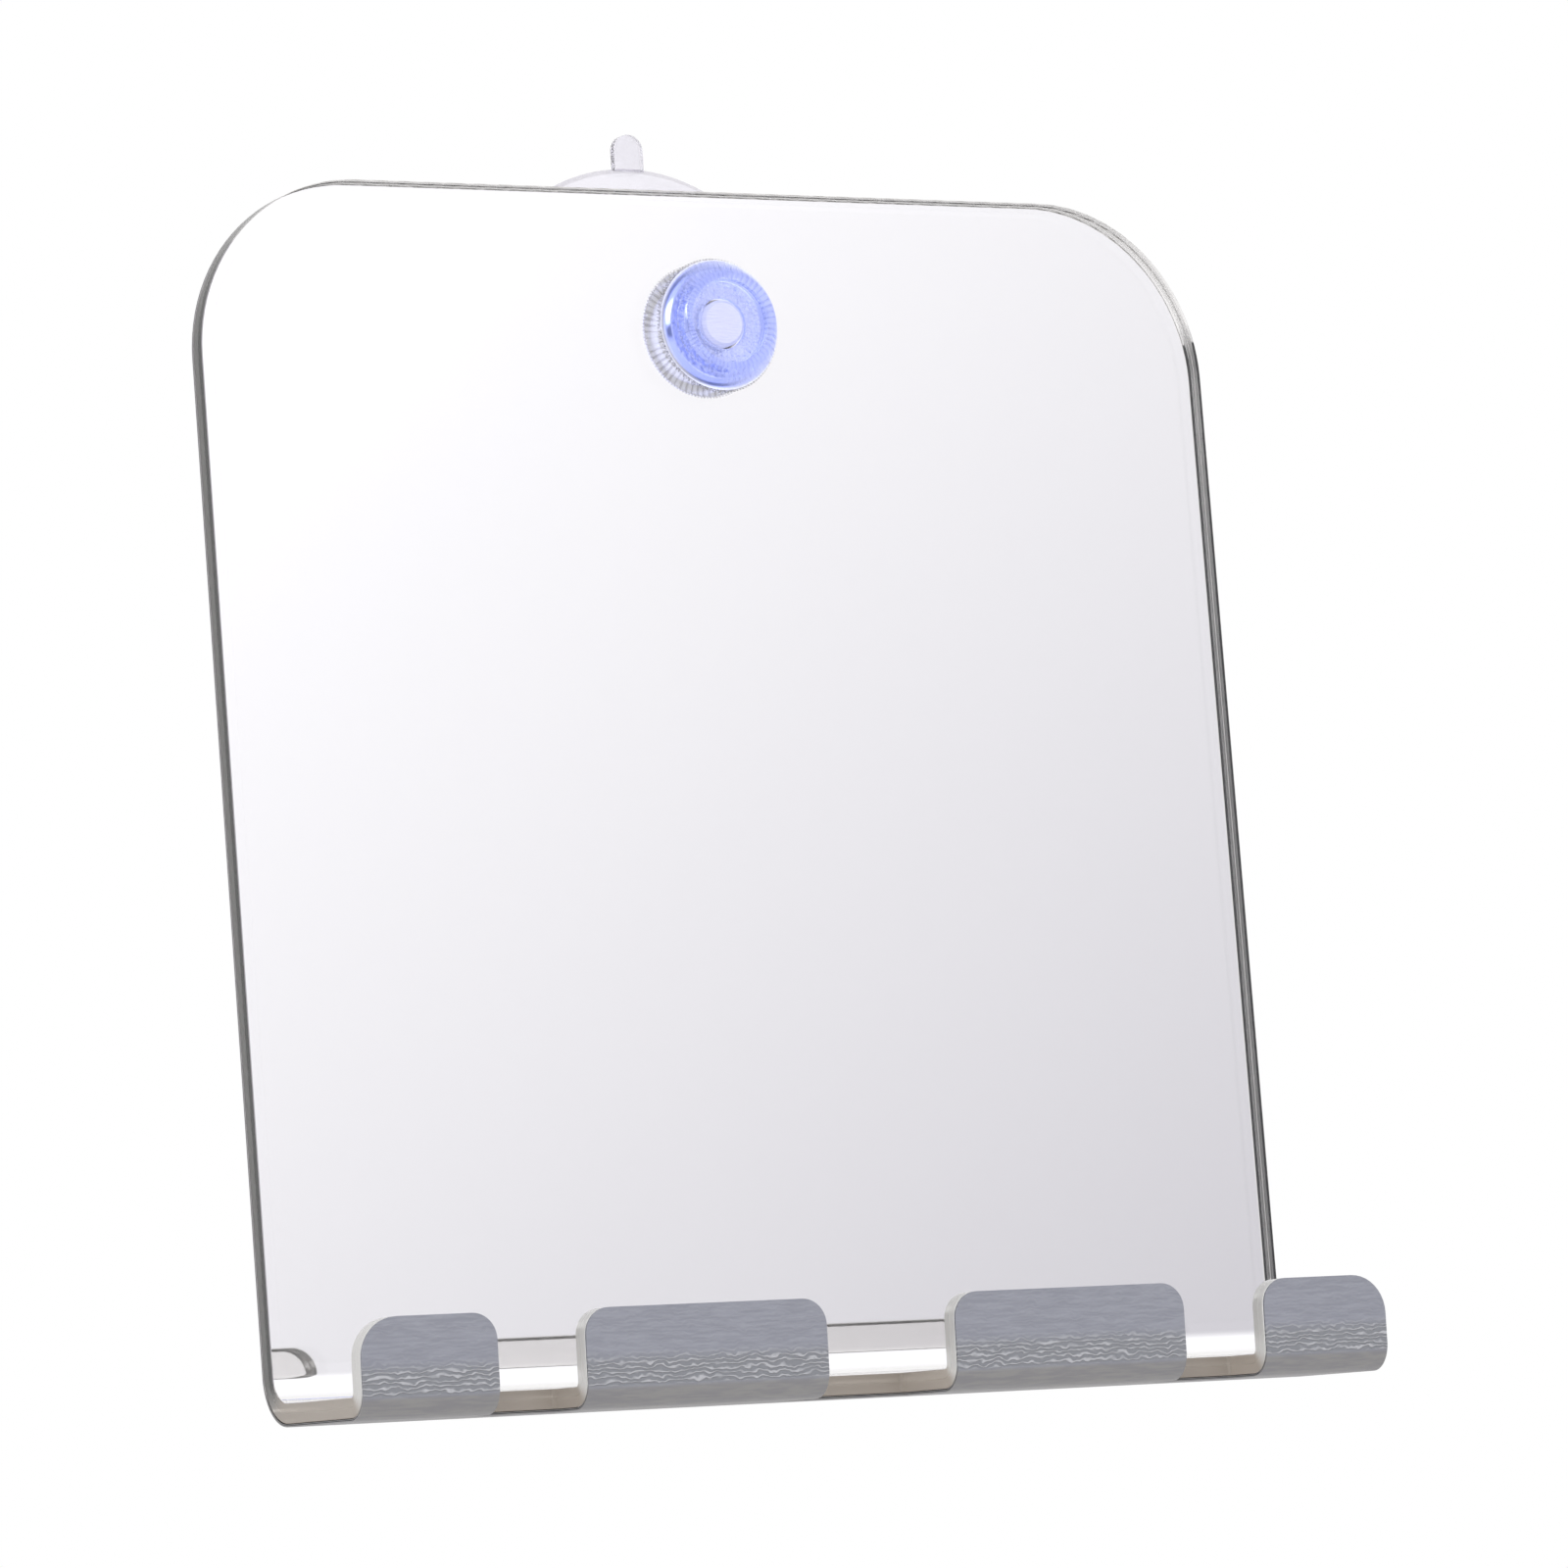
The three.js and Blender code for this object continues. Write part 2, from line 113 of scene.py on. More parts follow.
# Where finishes change, in millimetres along the blank from its top edge
CRAZE_STARTS, CRAZE_ENDS = (219.9, 220.3), (222.8, 225.2)
# PAINTED_SHADE_ENDS: where the darker, greyer painted shade of the paint gives way to its own
# colour
PAINTED_SHADE_ENDS = (219.5, 220.3)
MARKS_FADE, GLASSY_STARTS = (3.0, 9.0), (3.0, 12.0)
# TABS_START: where the pale painted light on the sides of the tabs takes over from the painted
# shade round the tray
TRAY_STARTS, TABS_START = (184.0, 192.0), (216.5, 220.5)
# In millimetres behind the back of the acrylic: where its cut edge turns glassy
GLASSY_DEPTH = (-1.5, -1.9)
# In millimetres along y: where the painted glow on the end of the stud fades, and where the nut's
# foot starts, with its grey painted glow
STUD_PAINTED_GLOW, FOOT_STARTS = (-27.5, -25.0), (-27.6, -26.7)
# In millimetres from the nut's axis: where the stipple of its recess stops
STIPPLE_FADES = (6.3, 6.55)
# Spacing of the saw marks and of the wrinkles in the crazed paint, in millimetres
SAW_PITCH, CRAZE_PITCH = 4.3, 0.7
# How strongly a metre of the nut's plastic absorbs what isn't blue
NUT_DENSITY = 130.0

# Vertex attribute that keeps each place on the flat blank, for patterns that follow the sheet
BLANK_PLACE = "blank_place"

# Faces of a sheet or film, by the material slot that each one takes
POLISHED, SAWN, BONDED = 0, 1, 2


def linear(hex_colour):
    """Turns an sRGB hex colour into Blender's linear red, green, blue and alpha."""
    channels = [int(hex_colour[i:i + 2], 16) / 255 for i in (1, 3, 5)]
    curve = [c / 12.92 if c <= 0.04045 else ((c + 0.055) / 1.055) ** 2.4 for c in channels]
    return (*curve, 1.0)


def length(name, millimetres, description):
    """A size whose default is given in millimetres."""
    return FloatProperty(
        name=name, description=description, default=millimetres * MM, min=0.0, unit="LENGTH"
    )


def colour(name, hex_colour, description):
    """A colour whose default is given as sRGB hex."""
    return FloatVectorProperty(
        name=name, description=description, default=linear(hex_colour), size=4,
        min=0.0, max=1.0, subtype="COLOR",
    )


class SheetSizes(bpy.types.PropertyGroup):
    """Sizes of the acrylic sheet and the films bonded to it."""

    width: length("Width", 178, "Width of the sheet")
    thickness: length("Thickness", 3, "Thickness of the acrylic")
    stud_to_top: length("Stud to top", 21.5, "From the stud's axis up to the top edge")
    back_depth: length("Back depth", 22.6, "From the wall to the back of the acrylic")
    top_corner: length("Top corner", 28, "Radius of the two top corners")
    upright: length("Upright", 182.144, "Flat length from the top edge to the rear bend")
    rear_bend: length("Rear bend", 7.5, "Radius of the rear bend on the back face")
    ledge: length("Ledge", 21.4, "Flat length between the two bends")
    front_bend: length("Front bend", 3.8, "Radius of the front bend on the back face")
    lip: length("Lip", 10.661, "Flat length of the tabs above the front bend")
    tray_drop: FloatProperty(
        name="Tray drop", description="How far the ledge leans down towards its front",
        default=math.radians(2.3), subtype="ANGLE",
    )
    tab_corner: length("Tab corner", 4, "Radius of the top corners of the tabs")
    outer_corner: length("Outer corner", 6, "Radius of the two outermost of those corners")
    end_tab: length("End tab", 22.3, "Width of the two end tabs")
    narrow_slot: length("Narrow slot", 14.7, "Width of the two outer slots")
    wide_slot: length("Wide slot", 22.4, "Width of the middle slot")
    narrow_depth: length("Narrow slot depth", 6.842, "From the front bend to the outer slots' ends")
    wide_depth: length("Wide slot depth", 12.937, "From the front bend to the middle slot's end")
    slot_corner: length("Slot corner", 0.8, "Radius in the inner corners of the slots")
    hole: length("Stud hole", 4.05, "Radius of the hole for the stud")
    chamfer: length("Edge chamfer", 0.12, "Width of the chamfer that the saw leaves")
    fog_film_inset: length("Fog film inset", 1.6, "Gap from the film to the sheet's edges")
    fog_film_foot: length("Fog film foot corner", 3, "Radius of the film's lower corners")


class CupSizes(bpy.types.PropertyGroup):
    """Sizes of the suction cup and its pull tab."""

    radius: length("Radius", 30.5, "Radius of the rim")
    height: length("Height", 22, "From the wall to the end of the neck")
    bowl: length("Bowl", 9, "Depth of the bowl at rest")
    land: length("Rim land", 1.4, "Width of the flat that meets the wall")
    rim: length("Rim thickness", 0.9, "Thickness at the rim")
    wall: length("Wall", 3.6, "Thickness of the crown between bowl and shoulder")
    neck: length("Neck", 9.4, "Radius of the neck")
    flare: length("Flare", 3, "Radius between the neck and the dome")
    pocket: length("Pocket", 6.8, "Radius of the pocket for the stud's head")
    pocket_floor: length("Pocket floor", 13.6, "From the wall to the floor of the pocket")
    pocket_mouth: length("Pocket mouth", 16.4, "From the wall to the roof of the pocket")
    bore: length("Bore", 4.05, "Radius of the bore round the shank")
    tab_width: length("Pull tab width", 5.2, "Width of the pull tab")
    tab_reach: length("Pull tab reach", 5.5, "How far the tab stands above the rim")
    tab_thickness: length("Pull tab thickness", 1.2, "Thickness of the pull tab")
    tab_root: length("Pull tab root", 0.45, "How far the tab reaches down over the rim")
    tab_lift: length("Pull tab lift", 0.3, "Gap between the tab and the wall")
    tab_lean: FloatProperty(
        name="Pull tab lean", description="How far the tab leans away from the wall",
        default=math.radians(2), subtype="ANGLE",
    )


class ClampSizes(bpy.types.PropertyGroup):
    """Sizes of the stud, the washer and the thumb nut."""

    stud: length("Stud", 3.7, "Radius of the stud")
    head: length("Stud head", 6.5, "Radius of the stud's head")
    head_back: length("Head back", 13.9, "From the wall to the back of the head")
    head_face: length("Head face", 16.1, "From the wall to the face of the head")
    stud_end: length("Stud end", 28.4, "From the wall to the end of the stud")
    bore: length("Bore", 4.05, "Radius of the bores of the washer and the nut")
    washer: length("Washer", 10.7, "Radius of the washer over its teeth")
    tooth: length("Tooth", 0.5, "Depth of the washer's teeth")
    serrations: length("Serrations", 7.6, "Radius where the washer's serrations begin")
    groove: length("Groove", 0.12, "Depth of the grooves between the serrations")
    washer_depth: length("Washer depth", 25.9, "From the wall to the back of the washer")
    washer_thickness: length("Washer thickness", 0.5, "Thickness of the washer")
    nut: length("Nut", 10.35, "Radius of the nut where it is widest")
    nut_depth: length("Nut depth", 26.5, "From the wall to the back of the nut")
    nut_height: length("Nut height", 4.1, "From the back of the nut to its crest")
    widest: length("Widest height", 0.3, "From the back of the nut to its widest circle")
    recess: length("Recess", 6.6, "Radius of the recess")
    recess_floor: length("Recess floor", 1.5, "From the back of the nut to the floor of the recess")
    recess_drop: length("Recess drop", 0.35, "How far the recess's rim is below the crest")


class Finishes(bpy.types.PropertyGroup):
    """Colours of the materials."""

    acrylic: colour("Acrylic", "#FEFEFE", "Clear cast acrylic")
    sawn: colour("Sawn acrylic", "#F2F0EE", "Frosted edges of the acrylic")
    film: colour("Mirror film", "#F8F7F6", "Aluminium film behind the acrylic")
    paint: colour("Backing paint", "#8F919C", "Grey paint over the film")
    # Pale crests of the crazed paint: a painted highlight where light catches the wrinkles
    craze: colour("Crazed paint", "#BDBEC3", "Paint where the front bend has crazed it")
    vinyl: colour("Cup", "#FAF8FF", "Clear soft vinyl of the suction cup")
    nylon: colour("Stud", "#E4E5FA", "Translucent nylon of the stud")
    washer: colour("Washer", "#F7F7F9", "Clear polycarbonate of the washer")
    nut: colour("Nut", "#4F82FF", "Blue that the thumb nut lets through")


# Darkest and lightest that the wall in front of the mirror gets
WALL_SHADE = linear("#C3C1CA")
WALL_WHITE = (1.118, 1.117, 1.16, 1.0)
WHITE = linear("#FFFFFF")

# Setting of a Map Range node that eases in and out
EASED = {"interpolation_type": "SMOOTHSTEP"}


def add_node(tree, kind, inputs=(), **settings):
    """Adds a node with its settings. Its inputs come by name, or in order as a list. Each is a
    value, a socket to link, or a node, whose first output in use is linked."""
    node = tree.nodes.new(kind)
    for name, value in settings.items():
        setattr(node, name, value)
    if isinstance(inputs, dict):
        pairs = [(node.inputs[name], value) for name, value in inputs.items()]
    else:
        pairs = zip([socket for socket in node.inputs if socket.enabled], inputs)
    for socket, value in pairs:
        if isinstance(value, bpy.types.Node):
            value = next(output for output in value.outputs if output.enabled)
        if isinstance(value, bpy.types.NodeSocket):
            tree.links.new(value, socket)
        else:
            socket.default_value = value
    return node


def new_material(name):
    """Starts a material with an empty node tree."""
    material = bpy.data.materials.new(name)
    material.use_nodes = True
    material.node_tree.nodes.clear()
    return material, material.node_tree


def object_place(tree):
    """Object coordinates in millimetres, so a noise's grain is 1 mm over its scale."""
    place = add_node(tree, "ShaderNodeTexCoord").outputs["Object"]
    return add_node(tree, "ShaderNodeVectorMath", [place, 1 / MM], operation="SCALE")


def blank_place(tree):
    """Places on the flat blank, before it was bent: across, along and out, in millimetres."""
    place = add_node(tree, "ShaderNodeAttribute", attribute_name=BLANK_PLACE).outputs["Vector"]
    return add_node(tree, "ShaderNodeVectorMath", [place, 1 / MM], operation="SCALE")


def acrylic(finishes):
    # Cast acrylic, polished face: glass clear, with the long faint waves of a cast sheet and the
    # haze of much wiping
    material, tree = new_material("Cast acrylic polished")
    place = object_place(tree)
    wiped = add_node(tree, "ShaderNodeTexNoise", [place, 0.04, 4.0])
    haze = add_node(tree, "ShaderNodeMapRange", [wiped, 0.3, 0.7, 0.008, 0.02], **EASED)
    waves = add_node(tree, "ShaderNodeTexNoise", [place, 0.02, 0.0])
    bump = add_node(tree, "ShaderNodeBump", {
        "Height": waves, "Strength": 0.02, "Distance": 0.1 * MM})
    shader = add_node(tree, "ShaderNodeBsdfPrincipled", {
        "Base Color": finishes.acrylic, "Roughness": haze, "IOR": 1.49,
        "Transmission Weight": 1.0, "Normal": bump})
    add_node(tree, "ShaderNodeOutputMaterial", {"Surface": shader})
    return material


def craze(tree, place, run):
    """Wavy wrinkles along the front bend: how crazed a place is, and how high its wrinkle is."""
    loose = add_node(tree, "ShaderNodeVectorMath", [place, (0.5, 0.7, 1.0)],
                     operation="MULTIPLY")
    waver = add_node(tree, "ShaderNodeTexNoise", [loose, 1.0, 1.0])
    turns = add_node(tree, "ShaderNodeMath", [run, 2 * math.pi / CRAZE_PITCH],
                     operation="MULTIPLY")
    phase = add_node(tree, "ShaderNodeMath", [waver, 15.0, turns], operation="MULTIPLY_ADD")
    wave = add_node(tree, "ShaderNodeMath", [phase], operation="SINE")
    crest = add_node(tree, "ShaderNodeMapRange", [wave, -0.5, 1.0], **EASED)
    wide = add_node(tree, "ShaderNodeVectorMath", [place, (0.5, 1.0, 1.0)],
                    operation="MULTIPLY")
    patchy = add_node(tree, "ShaderNodeTexNoise", [wide, 1.0, 1.0])
    patch = add_node(tree, "ShaderNodeMapRange", [patchy, 0.3, 0.55, 0.45, 1.0], **EASED)
    begun = add_node(tree, "ShaderNodeMapRange", [run, *CRAZE_STARTS], **EASED)
    left = add_node(tree, "ShaderNodeMapRange", [run, *CRAZE_ENDS, 1.0, 0.1], **EASED)
    crazed = add_node(tree, "ShaderNodeMath", [begun, left], operation="MULTIPLY")
    broken = add_node(tree, "ShaderNodeMath", [crest, patch], operation="MULTIPLY")
    return crazed, add_node(tree, "ShaderNodeMath", [broken, crazed], operation="MULTIPLY")


def sawn_acrylic(finishes):
    # Cast acrylic, cut edge: glassy next to the face and frosted towards the back, with slanted
    # saw marks that are bold along the top. Round the tray the cut is frosted all through, with
    # painted shade, darker and warm, along the ledge and on the slot ends, and painted light, pale,
    # on the sides of the tabs
    material, tree = new_material("Cast acrylic cut edge")
    place = blank_place(tree)
    split = add_node(tree, "ShaderNodeSeparateXYZ", [place])
    run, depth = split.outputs["Y"], split.outputs["Z"]
    fine = add_node(tree, "ShaderNodeVectorMath", [place, (0.55, 0.55, 1.6)],
                    operation="MULTIPLY")
    grit = add_node(tree, "ShaderNodeTexNoise", [fine, 1.0, 1.5])
    slant = add_node(tree, "ShaderNodeVectorMath", [place, (1, 1, 2.7)],
                     operation="DOT_PRODUCT")
    waver = add_node(tree, "ShaderNodeMath", [grit, 2.4, slant], operation="MULTIPLY_ADD")
    phase = add_node(tree, "ShaderNodeMath", [waver, 2 * math.pi / SAW_PITCH],
                     operation="MULTIPLY")
    wave = add_node(tree, "ShaderNodeMath", [phase], operation="SINE")
    bold = add_node(tree, "ShaderNodeMapRange", [run, *MARKS_FADE, 1.0, 0.12], **EASED)
    marks = add_node(tree, "ShaderNodeMath", [wave, bold], operation="MULTIPLY")
    tray = add_node(tree, "ShaderNodeMapRange", [run, *TRAY_STARTS], **EASED)
    tabs = add_node(tree, "ShaderNodeMapRange", [run, *TABS_START], **EASED)
    # How glassy the cut is: near the face only, little round the tray, and not along the top
    edge = add_node(tree, "ShaderNodeMath", [marks, 0.2, depth], operation="MULTIPLY_ADD")
    front = add_node(tree, "ShaderNodeMapRange", [edge, *GLASSY_DEPTH], **EASED)
    fewer = add_node(tree, "ShaderNodeMapRange", [run, *TRAY_STARTS, 1.0, 0.3], **EASED)
    below = add_node(tree, "ShaderNodeMapRange", [run, *GLASSY_STARTS], **EASED)
    glassy = add_node(tree, "ShaderNodeMath", [front, fewer], operation="MULTIPLY")
    glassy = add_node(tree, "ShaderNodeMath", [glassy, below], operation="MULTIPLY")
    clearer = add_node(tree, "ShaderNodeMix", [glassy, 0.85, 0.97])
    duller = add_node(tree, "ShaderNodeMix", [tray, 1.0, 0.35])
    clear = add_node(tree, "ShaderNodeMath", [clearer, duller], operation="MULTIPLY")
    rough = add_node(tree, "ShaderNodeMix", [glassy, 0.28, 0.05])
    shade = add_node(tree, "ShaderNodeMapRange", [marks, -1.0, 1.0], **EASED)
    upright = add_node(tree, "ShaderNodeMix", [shade, finishes.sawn, linear("#B8B5B0")],
                       data_type="RGBA")
    # Round the tray: painted shade, darker and warm, and painted light, pale, on the sides of the
    # tabs
    tray_painted_light_and_shade = add_node(tree, "ShaderNodeMix", [tabs, linear("#B9AFA4"), linear("#F2F1EE")],
                    data_type="RGBA")
    tint = add_node(tree, "ShaderNodeMix", [tray, upright, tray_painted_light_and_shade], data_type="RGBA")
    height = add_node(tree, "ShaderNodeMath", [marks, 0.5, grit], operation="MULTIPLY_ADD")
    height = add_node(tree, "ShaderNodeMath", [height, bold], operation="MULTIPLY")
    bump = add_node(tree, "ShaderNodeBump", {
        "Height": height, "Strength": 0.35, "Distance": 0.15 * MM})
    shader = add_node(tree, "ShaderNodeBsdfPrincipled", {
        "Base Color": tint, "Roughness": rough, "IOR": 1.49, "Transmission Weight": clear,
        "Normal": bump})
    add_node(tree, "ShaderNodeOutputMaterial", {"Surface": shader})
    return material


def mirror_film(finishes):
    # Aluminium evaporated on a polyester film: bright, with the faintest ripple of the film, and
    # wrinkled where the front bend crazed it
    material, tree = new_material("Aluminium mirror film")
    place = blank_place(tree)
    run = add_node(tree, "ShaderNodeSeparateXYZ", [place]).outputs["Y"]
    lifted = craze(tree, place, run)[1]
    ripple = add_node(tree, "ShaderNodeTexNoise", [place, 0.03, 1.0])
    height = add_node(tree, "ShaderNodeMath", [lifted, 2.0, ripple], operation="MULTIPLY_ADD")
    bump = add_node(tree, "ShaderNodeBump", {
        "Height": height, "Strength": 0.05, "Distance": 0.1 * MM})
    shader = add_node(tree, "ShaderNodeBsdfPrincipled", {
        "Base Color": finishes.film, "Metallic": 1.0, "Roughness": 0.02, "Normal": bump})
    add_node(tree, "ShaderNodeOutputMaterial", {"Surface": shader})
    return material


def backing_paint(finishes):
    # Grey lacquer sprayed on the film: matt, faintly streaked on the flats, and crazed into fine
    # ripples where the hot sheet stretched it at the front bend, with a painted highlight on their
    # crests and painted shade in their valleys; darker and greyer below the front bend and over
    # the back, which is painted shade
    material, tree = new_material("Grey backing paint")
    place = blank_place(tree)
    run = add_node(tree, "ShaderNodeSeparateXYZ", [place]).outputs["Y"]
    crazed, lifted = craze(tree, place, run)
    drawn = add_node(tree, "ShaderNodeVectorMath", [place, (0.25, 2.2, 1.0)],
                     operation="MULTIPLY")
    streaks = add_node(tree, "ShaderNodeTexNoise", [drawn, 1.0, 3.0])
    streaked = add_node(tree, "ShaderNodeMapRange", [streaks, 0.35, 0.65], **EASED)
    # Below the front bend and over the back: darker, greyer paint, which is painted shade
    tray = add_node(tree, "ShaderNodeMix", [streaked, linear("#88878A"), linear("#929190")],
                    data_type="RGBA")
    tabs = add_node(tree, "ShaderNodeMix", [streaked, finishes.paint, linear("#999BA6")],
                    data_type="RGBA")
    clear_of_painted_shade = add_node(tree, "ShaderNodeMapRange", [run, *PAINTED_SHADE_ENDS], **EASED)
    flat = add_node(tree, "ShaderNodeMix", [clear_of_painted_shade, tray, tabs], data_type="RGBA")
    # Crazed zone: painted shade in the valleys, painted highlight on the crests of the wrinkles
    painted_valley_shade = add_node(tree, "ShaderNodeMix", [crazed, flat, linear("#888A90")],
                       data_type="RGBA")
    tint = add_node(tree, "ShaderNodeMix", [lifted, painted_valley_shade, finishes.craze],
                    data_type="RGBA")
    height = add_node(tree, "ShaderNodeMath", [streaks, 0.15, lifted],
                      operation="MULTIPLY_ADD")
    bump = add_node(tree, "ShaderNodeBump", {
        "Height": height, "Strength": 1.0, "Distance": 0.2 * MM})
    shader = add_node(tree, "ShaderNodeBsdfPrincipled", {
        "Base Color": tint, "Roughness": 0.42, "Normal": bump})
    add_node(tree, "ShaderNodeOutputMaterial", {"Surface": shader})
    return material


def fog_free_coating(finishes):
    # Water-loving lacquer on a thin film: all but invisible, its gloss a little uneven
    material, tree = new_material("Fog free coating")
    uneven = add_node(tree, "ShaderNodeTexNoise", [object_place(tree), 0.08, 2.0])
    rough = add_node(tree, "ShaderNodeMapRange", [uneven, 0.3, 0.7, 0.03, 0.08], **EASED)
    shader = add_node(tree, "ShaderNodeBsdfPrincipled", {
        "Base Color": finishes.acrylic, "Roughness": rough, "IOR": 1.45, "Alpha": 0.015})
    add_node(tree, "ShaderNodeOutputMaterial", {"Surface": shader})
    return material


def clear_vinyl(finishes):
    # Soft clear vinyl, moulded: glassy with a faint lavender tint, and a little milky in clouds.
    # Fully clear, it would turn black from the side, where light is caught inside it
    material, tree = new_material("Clear soft vinyl")
    cloud = add_node(tree, "ShaderNodeTexNoise", [object_place(tree), 0.1, 0.5])
    clear = add_node(tree, "ShaderNodeMapRange", [cloud, 0.35, 0.65, 0.9, 0.8], **EASED)
    bump = add_node(tree, "ShaderNodeBump", {
        "Height": cloud, "Strength": 0.1, "Distance": 0.5 * MM})
    shader = add_node(tree, "ShaderNodeBsdfPrincipled", {
        "Base Color": finishes.vinyl, "Roughness": 0.04, "IOR": 1.53,
        "Transmission Weight": clear, "Normal": bump})
    add_node(tree, "ShaderNodeOutputMaterial", {"Surface": shader})
    return material


def clear_nylon(finishes):
    # Natural nylon, moulded: milky and translucent, its end face streaked across by the cutter,
    # and given a painted glow there that stands in for the light that the nut gathers
    material, tree = new_material("Translucent nylon")
    place = object_place(tree)
    depth = add_node(tree, "ShaderNodeSeparateXYZ", [place]).outputs["Y"]
    painted_end_glow = add_node(tree, "ShaderNodeMapRange", [depth, *STUD_PAINTED_GLOW, 0.3, 0.0], **EASED)
    drawn = add_node(tree, "ShaderNodeVectorMath", [place, (0.5, 0.5, 3.2)],
                     operation="MULTIPLY")
    streaks = add_node(tree, "ShaderNodeTexNoise", [drawn, 1.0, 3.0])
    bump = add_node(tree, "ShaderNodeBump", {
        "Height": streaks, "Strength": 0.7, "Distance": 0.3 * MM})
    # The emission is a painted glow at the end of the stud, no lamp
    shader = add_node(tree, "ShaderNodeBsdfPrincipled", {
        "Base Color": finishes.nylon, "Roughness": 0.22, "IOR": 1.53,
        "Transmission Weight": 0.25, "Emission Color": linear("#C0C8F6"),
        "Emission Strength": painted_end_glow, "Normal": bump})
    add_node(tree, "ShaderNodeOutputMaterial", {"Surface": shader})
    return material


def washer_plastic(finishes):
    # Colourless polycarbonate, moulded and frosted: half a millimetre thin, so the mirror shows
    # through it. Uneven dark strokes of painted shade stand in for the shading of the serrations on
    # its face. They are drawn one to two teeth, because a stroke for each tooth would be too fine
    # to show
    material, tree = new_material("Frosted polycarbonate")
    place = object_place(tree)
    split = add_node(tree, "ShaderNodeSeparateXYZ", [place])
    angle = add_node(tree, "ShaderNodeMath", [split.outputs["Z"], split.outputs["X"]],
                     operation="ARCTAN2")
    turns = add_node(tree, "ShaderNodeMath", [angle, WASHER_TEETH / 2], operation="MULTIPLY")
    wave = add_node(tree, "ShaderNodeMath", [turns], operation="SINE")
    uneven = add_node(tree, "ShaderNodeTexNoise", [place, 0.3, 1.0])
    drawn = add_node(tree, "ShaderNodeMath", [uneven, 3.0, wave], operation="MULTIPLY_ADD")
    painted_shade_stroke = add_node(tree, "ShaderNodeMapRange", [drawn, 1.4, 2.4], **EASED)
    # Dark strokes of painted shade, for the shading of the serrations
    tint = add_node(tree, "ShaderNodeMix", [painted_shade_stroke, finishes.washer, linear("#6A686B")],
                    data_type="RGBA")
    frost = add_node(tree, "ShaderNodeTexNoise", [place, 2.5, 3.0])
    rough = add_node(tree, "ShaderNodeMapRange", [frost, 0.3, 0.7, 0.35, 0.6], **EASED)
    bump = add_node(tree, "ShaderNodeBump", {
        "Height": frost, "Strength": 0.3, "Distance": 0.1 * MM})
    shader = add_node(tree, "ShaderNodeBsdfPrincipled", {
        "Base Color": tint, "Roughness": rough, "IOR": 1.58, "Alpha": 0.35,
        "Transmission Weight": 1.0, "Normal": bump})
    add_node(tree, "ShaderNodeOutputMaterial", {"Surface": shader})
    return material


def blue_plastic(finishes):
    # Translucent blue polycarbonate, moulded and glossy: clear, so its blue deepens where the
    # eye looks through more of it, with a low painted glow on its outer faces that stands in for
    # the light that the dye scatters. Its thin foot is all but colourless, its painted glow there
    # grey, and the mould has stippled the recess
    material, tree = new_material("Translucent blue polycarbonate")
    place = object_place(tree)
    flat = add_node(tree, "ShaderNodeVectorMath", [place, (1, 0, 1)], operation="MULTIPLY")
    radius = add_node(tree, "ShaderNodeVectorMath", [flat], operation="LENGTH")
    recess = add_node(tree, "ShaderNodeMapRange", [radius, *STIPPLE_FADES, 1.0, 0.0])
    stipple = add_node(tree, "ShaderNodeTexNoise", [place, 1.7, 2.0])
    height = add_node(tree, "ShaderNodeMath", [stipple, recess], operation="MULTIPLY")
    bump = add_node(tree, "ShaderNodeBump", {
        "Height": height, "Strength": 0.8, "Distance": 0.4 * MM})
    depth = add_node(tree, "ShaderNodeSeparateXYZ", [place]).outputs["Y"]
    foot = add_node(tree, "ShaderNodeMapRange", [depth, *FOOT_STARTS], **EASED)
    # Painted glow, no lamp: blue on the ring, grey on the foot, on outer faces only
    painted_dye_glow = add_node(tree, "ShaderNodeMix", [foot, linear("#5563A2"), linear("#C4C3C0")],
                    data_type="RGBA")
    inside = add_node(tree, "ShaderNodeNewGeometry").outputs["Backfacing"]
    outside = add_node(tree, "ShaderNodeMath", [1.0, inside], operation="SUBTRACT")
    shader = add_node(tree, "ShaderNodeBsdfPrincipled", {
        "Base Color": WHITE, "Roughness": 0.1, "IOR": 1.58, "Transmission Weight": 1.0,
        "Emission Color": painted_dye_glow, "Emission Strength": outside, "Normal": bump})
    blue = add_node(tree, "ShaderNodeVolumeAbsorption", {
        "Color": finishes.nut, "Density": NUT_DENSITY})
    add_node(tree, "ShaderNodeOutputMaterial", {"Surface": shader, "Volume": blue})
    return material


def make_object(bm, name, materials, body, node):
    """Turns a bmesh into a finished piece that stands for a CAD node and rides on a body.

    With no body the piece is left free, so that it can be blended between two.
    """
    for edge in bm.edges:
        edge.smooth = len(edge.link_faces) == 2 and edge.calc_face_angle() < SHARP_ANGLE
    for face in bm.faces:
        face.smooth = True
    mesh = bpy.data.meshes.new(name)
    bm.to_mesh(mesh)
    bm.free()
    for material in materials:
        mesh.materials.append(material)
    piece = bpy.data.objects.new(name, mesh)
    bpy.context.collection.objects.link(piece)
    if body:
        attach(piece, body)
    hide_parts(node)
    return piece


def round_corners(bm, corners, radius, segments):
    """Rounds the given vertices of a flat outline."""
    if radius > 0:
        bmesh.ops.bevel(
            bm, geom=corners, offset=radius, segments=segments, profile=0.5,
            affect="VERTICES", material=-1, clamp_overlap=False,
        )


def corners_at(bm, wanted):
    """The vertices of a flat outline that stand at given points of the x-z plane."""
    return [
        v for v in bm.verts
        if any(abs(v.co.x - x) < NEAR and abs(v.co.z - z) < NEAR for x, z in wanted)
    ]


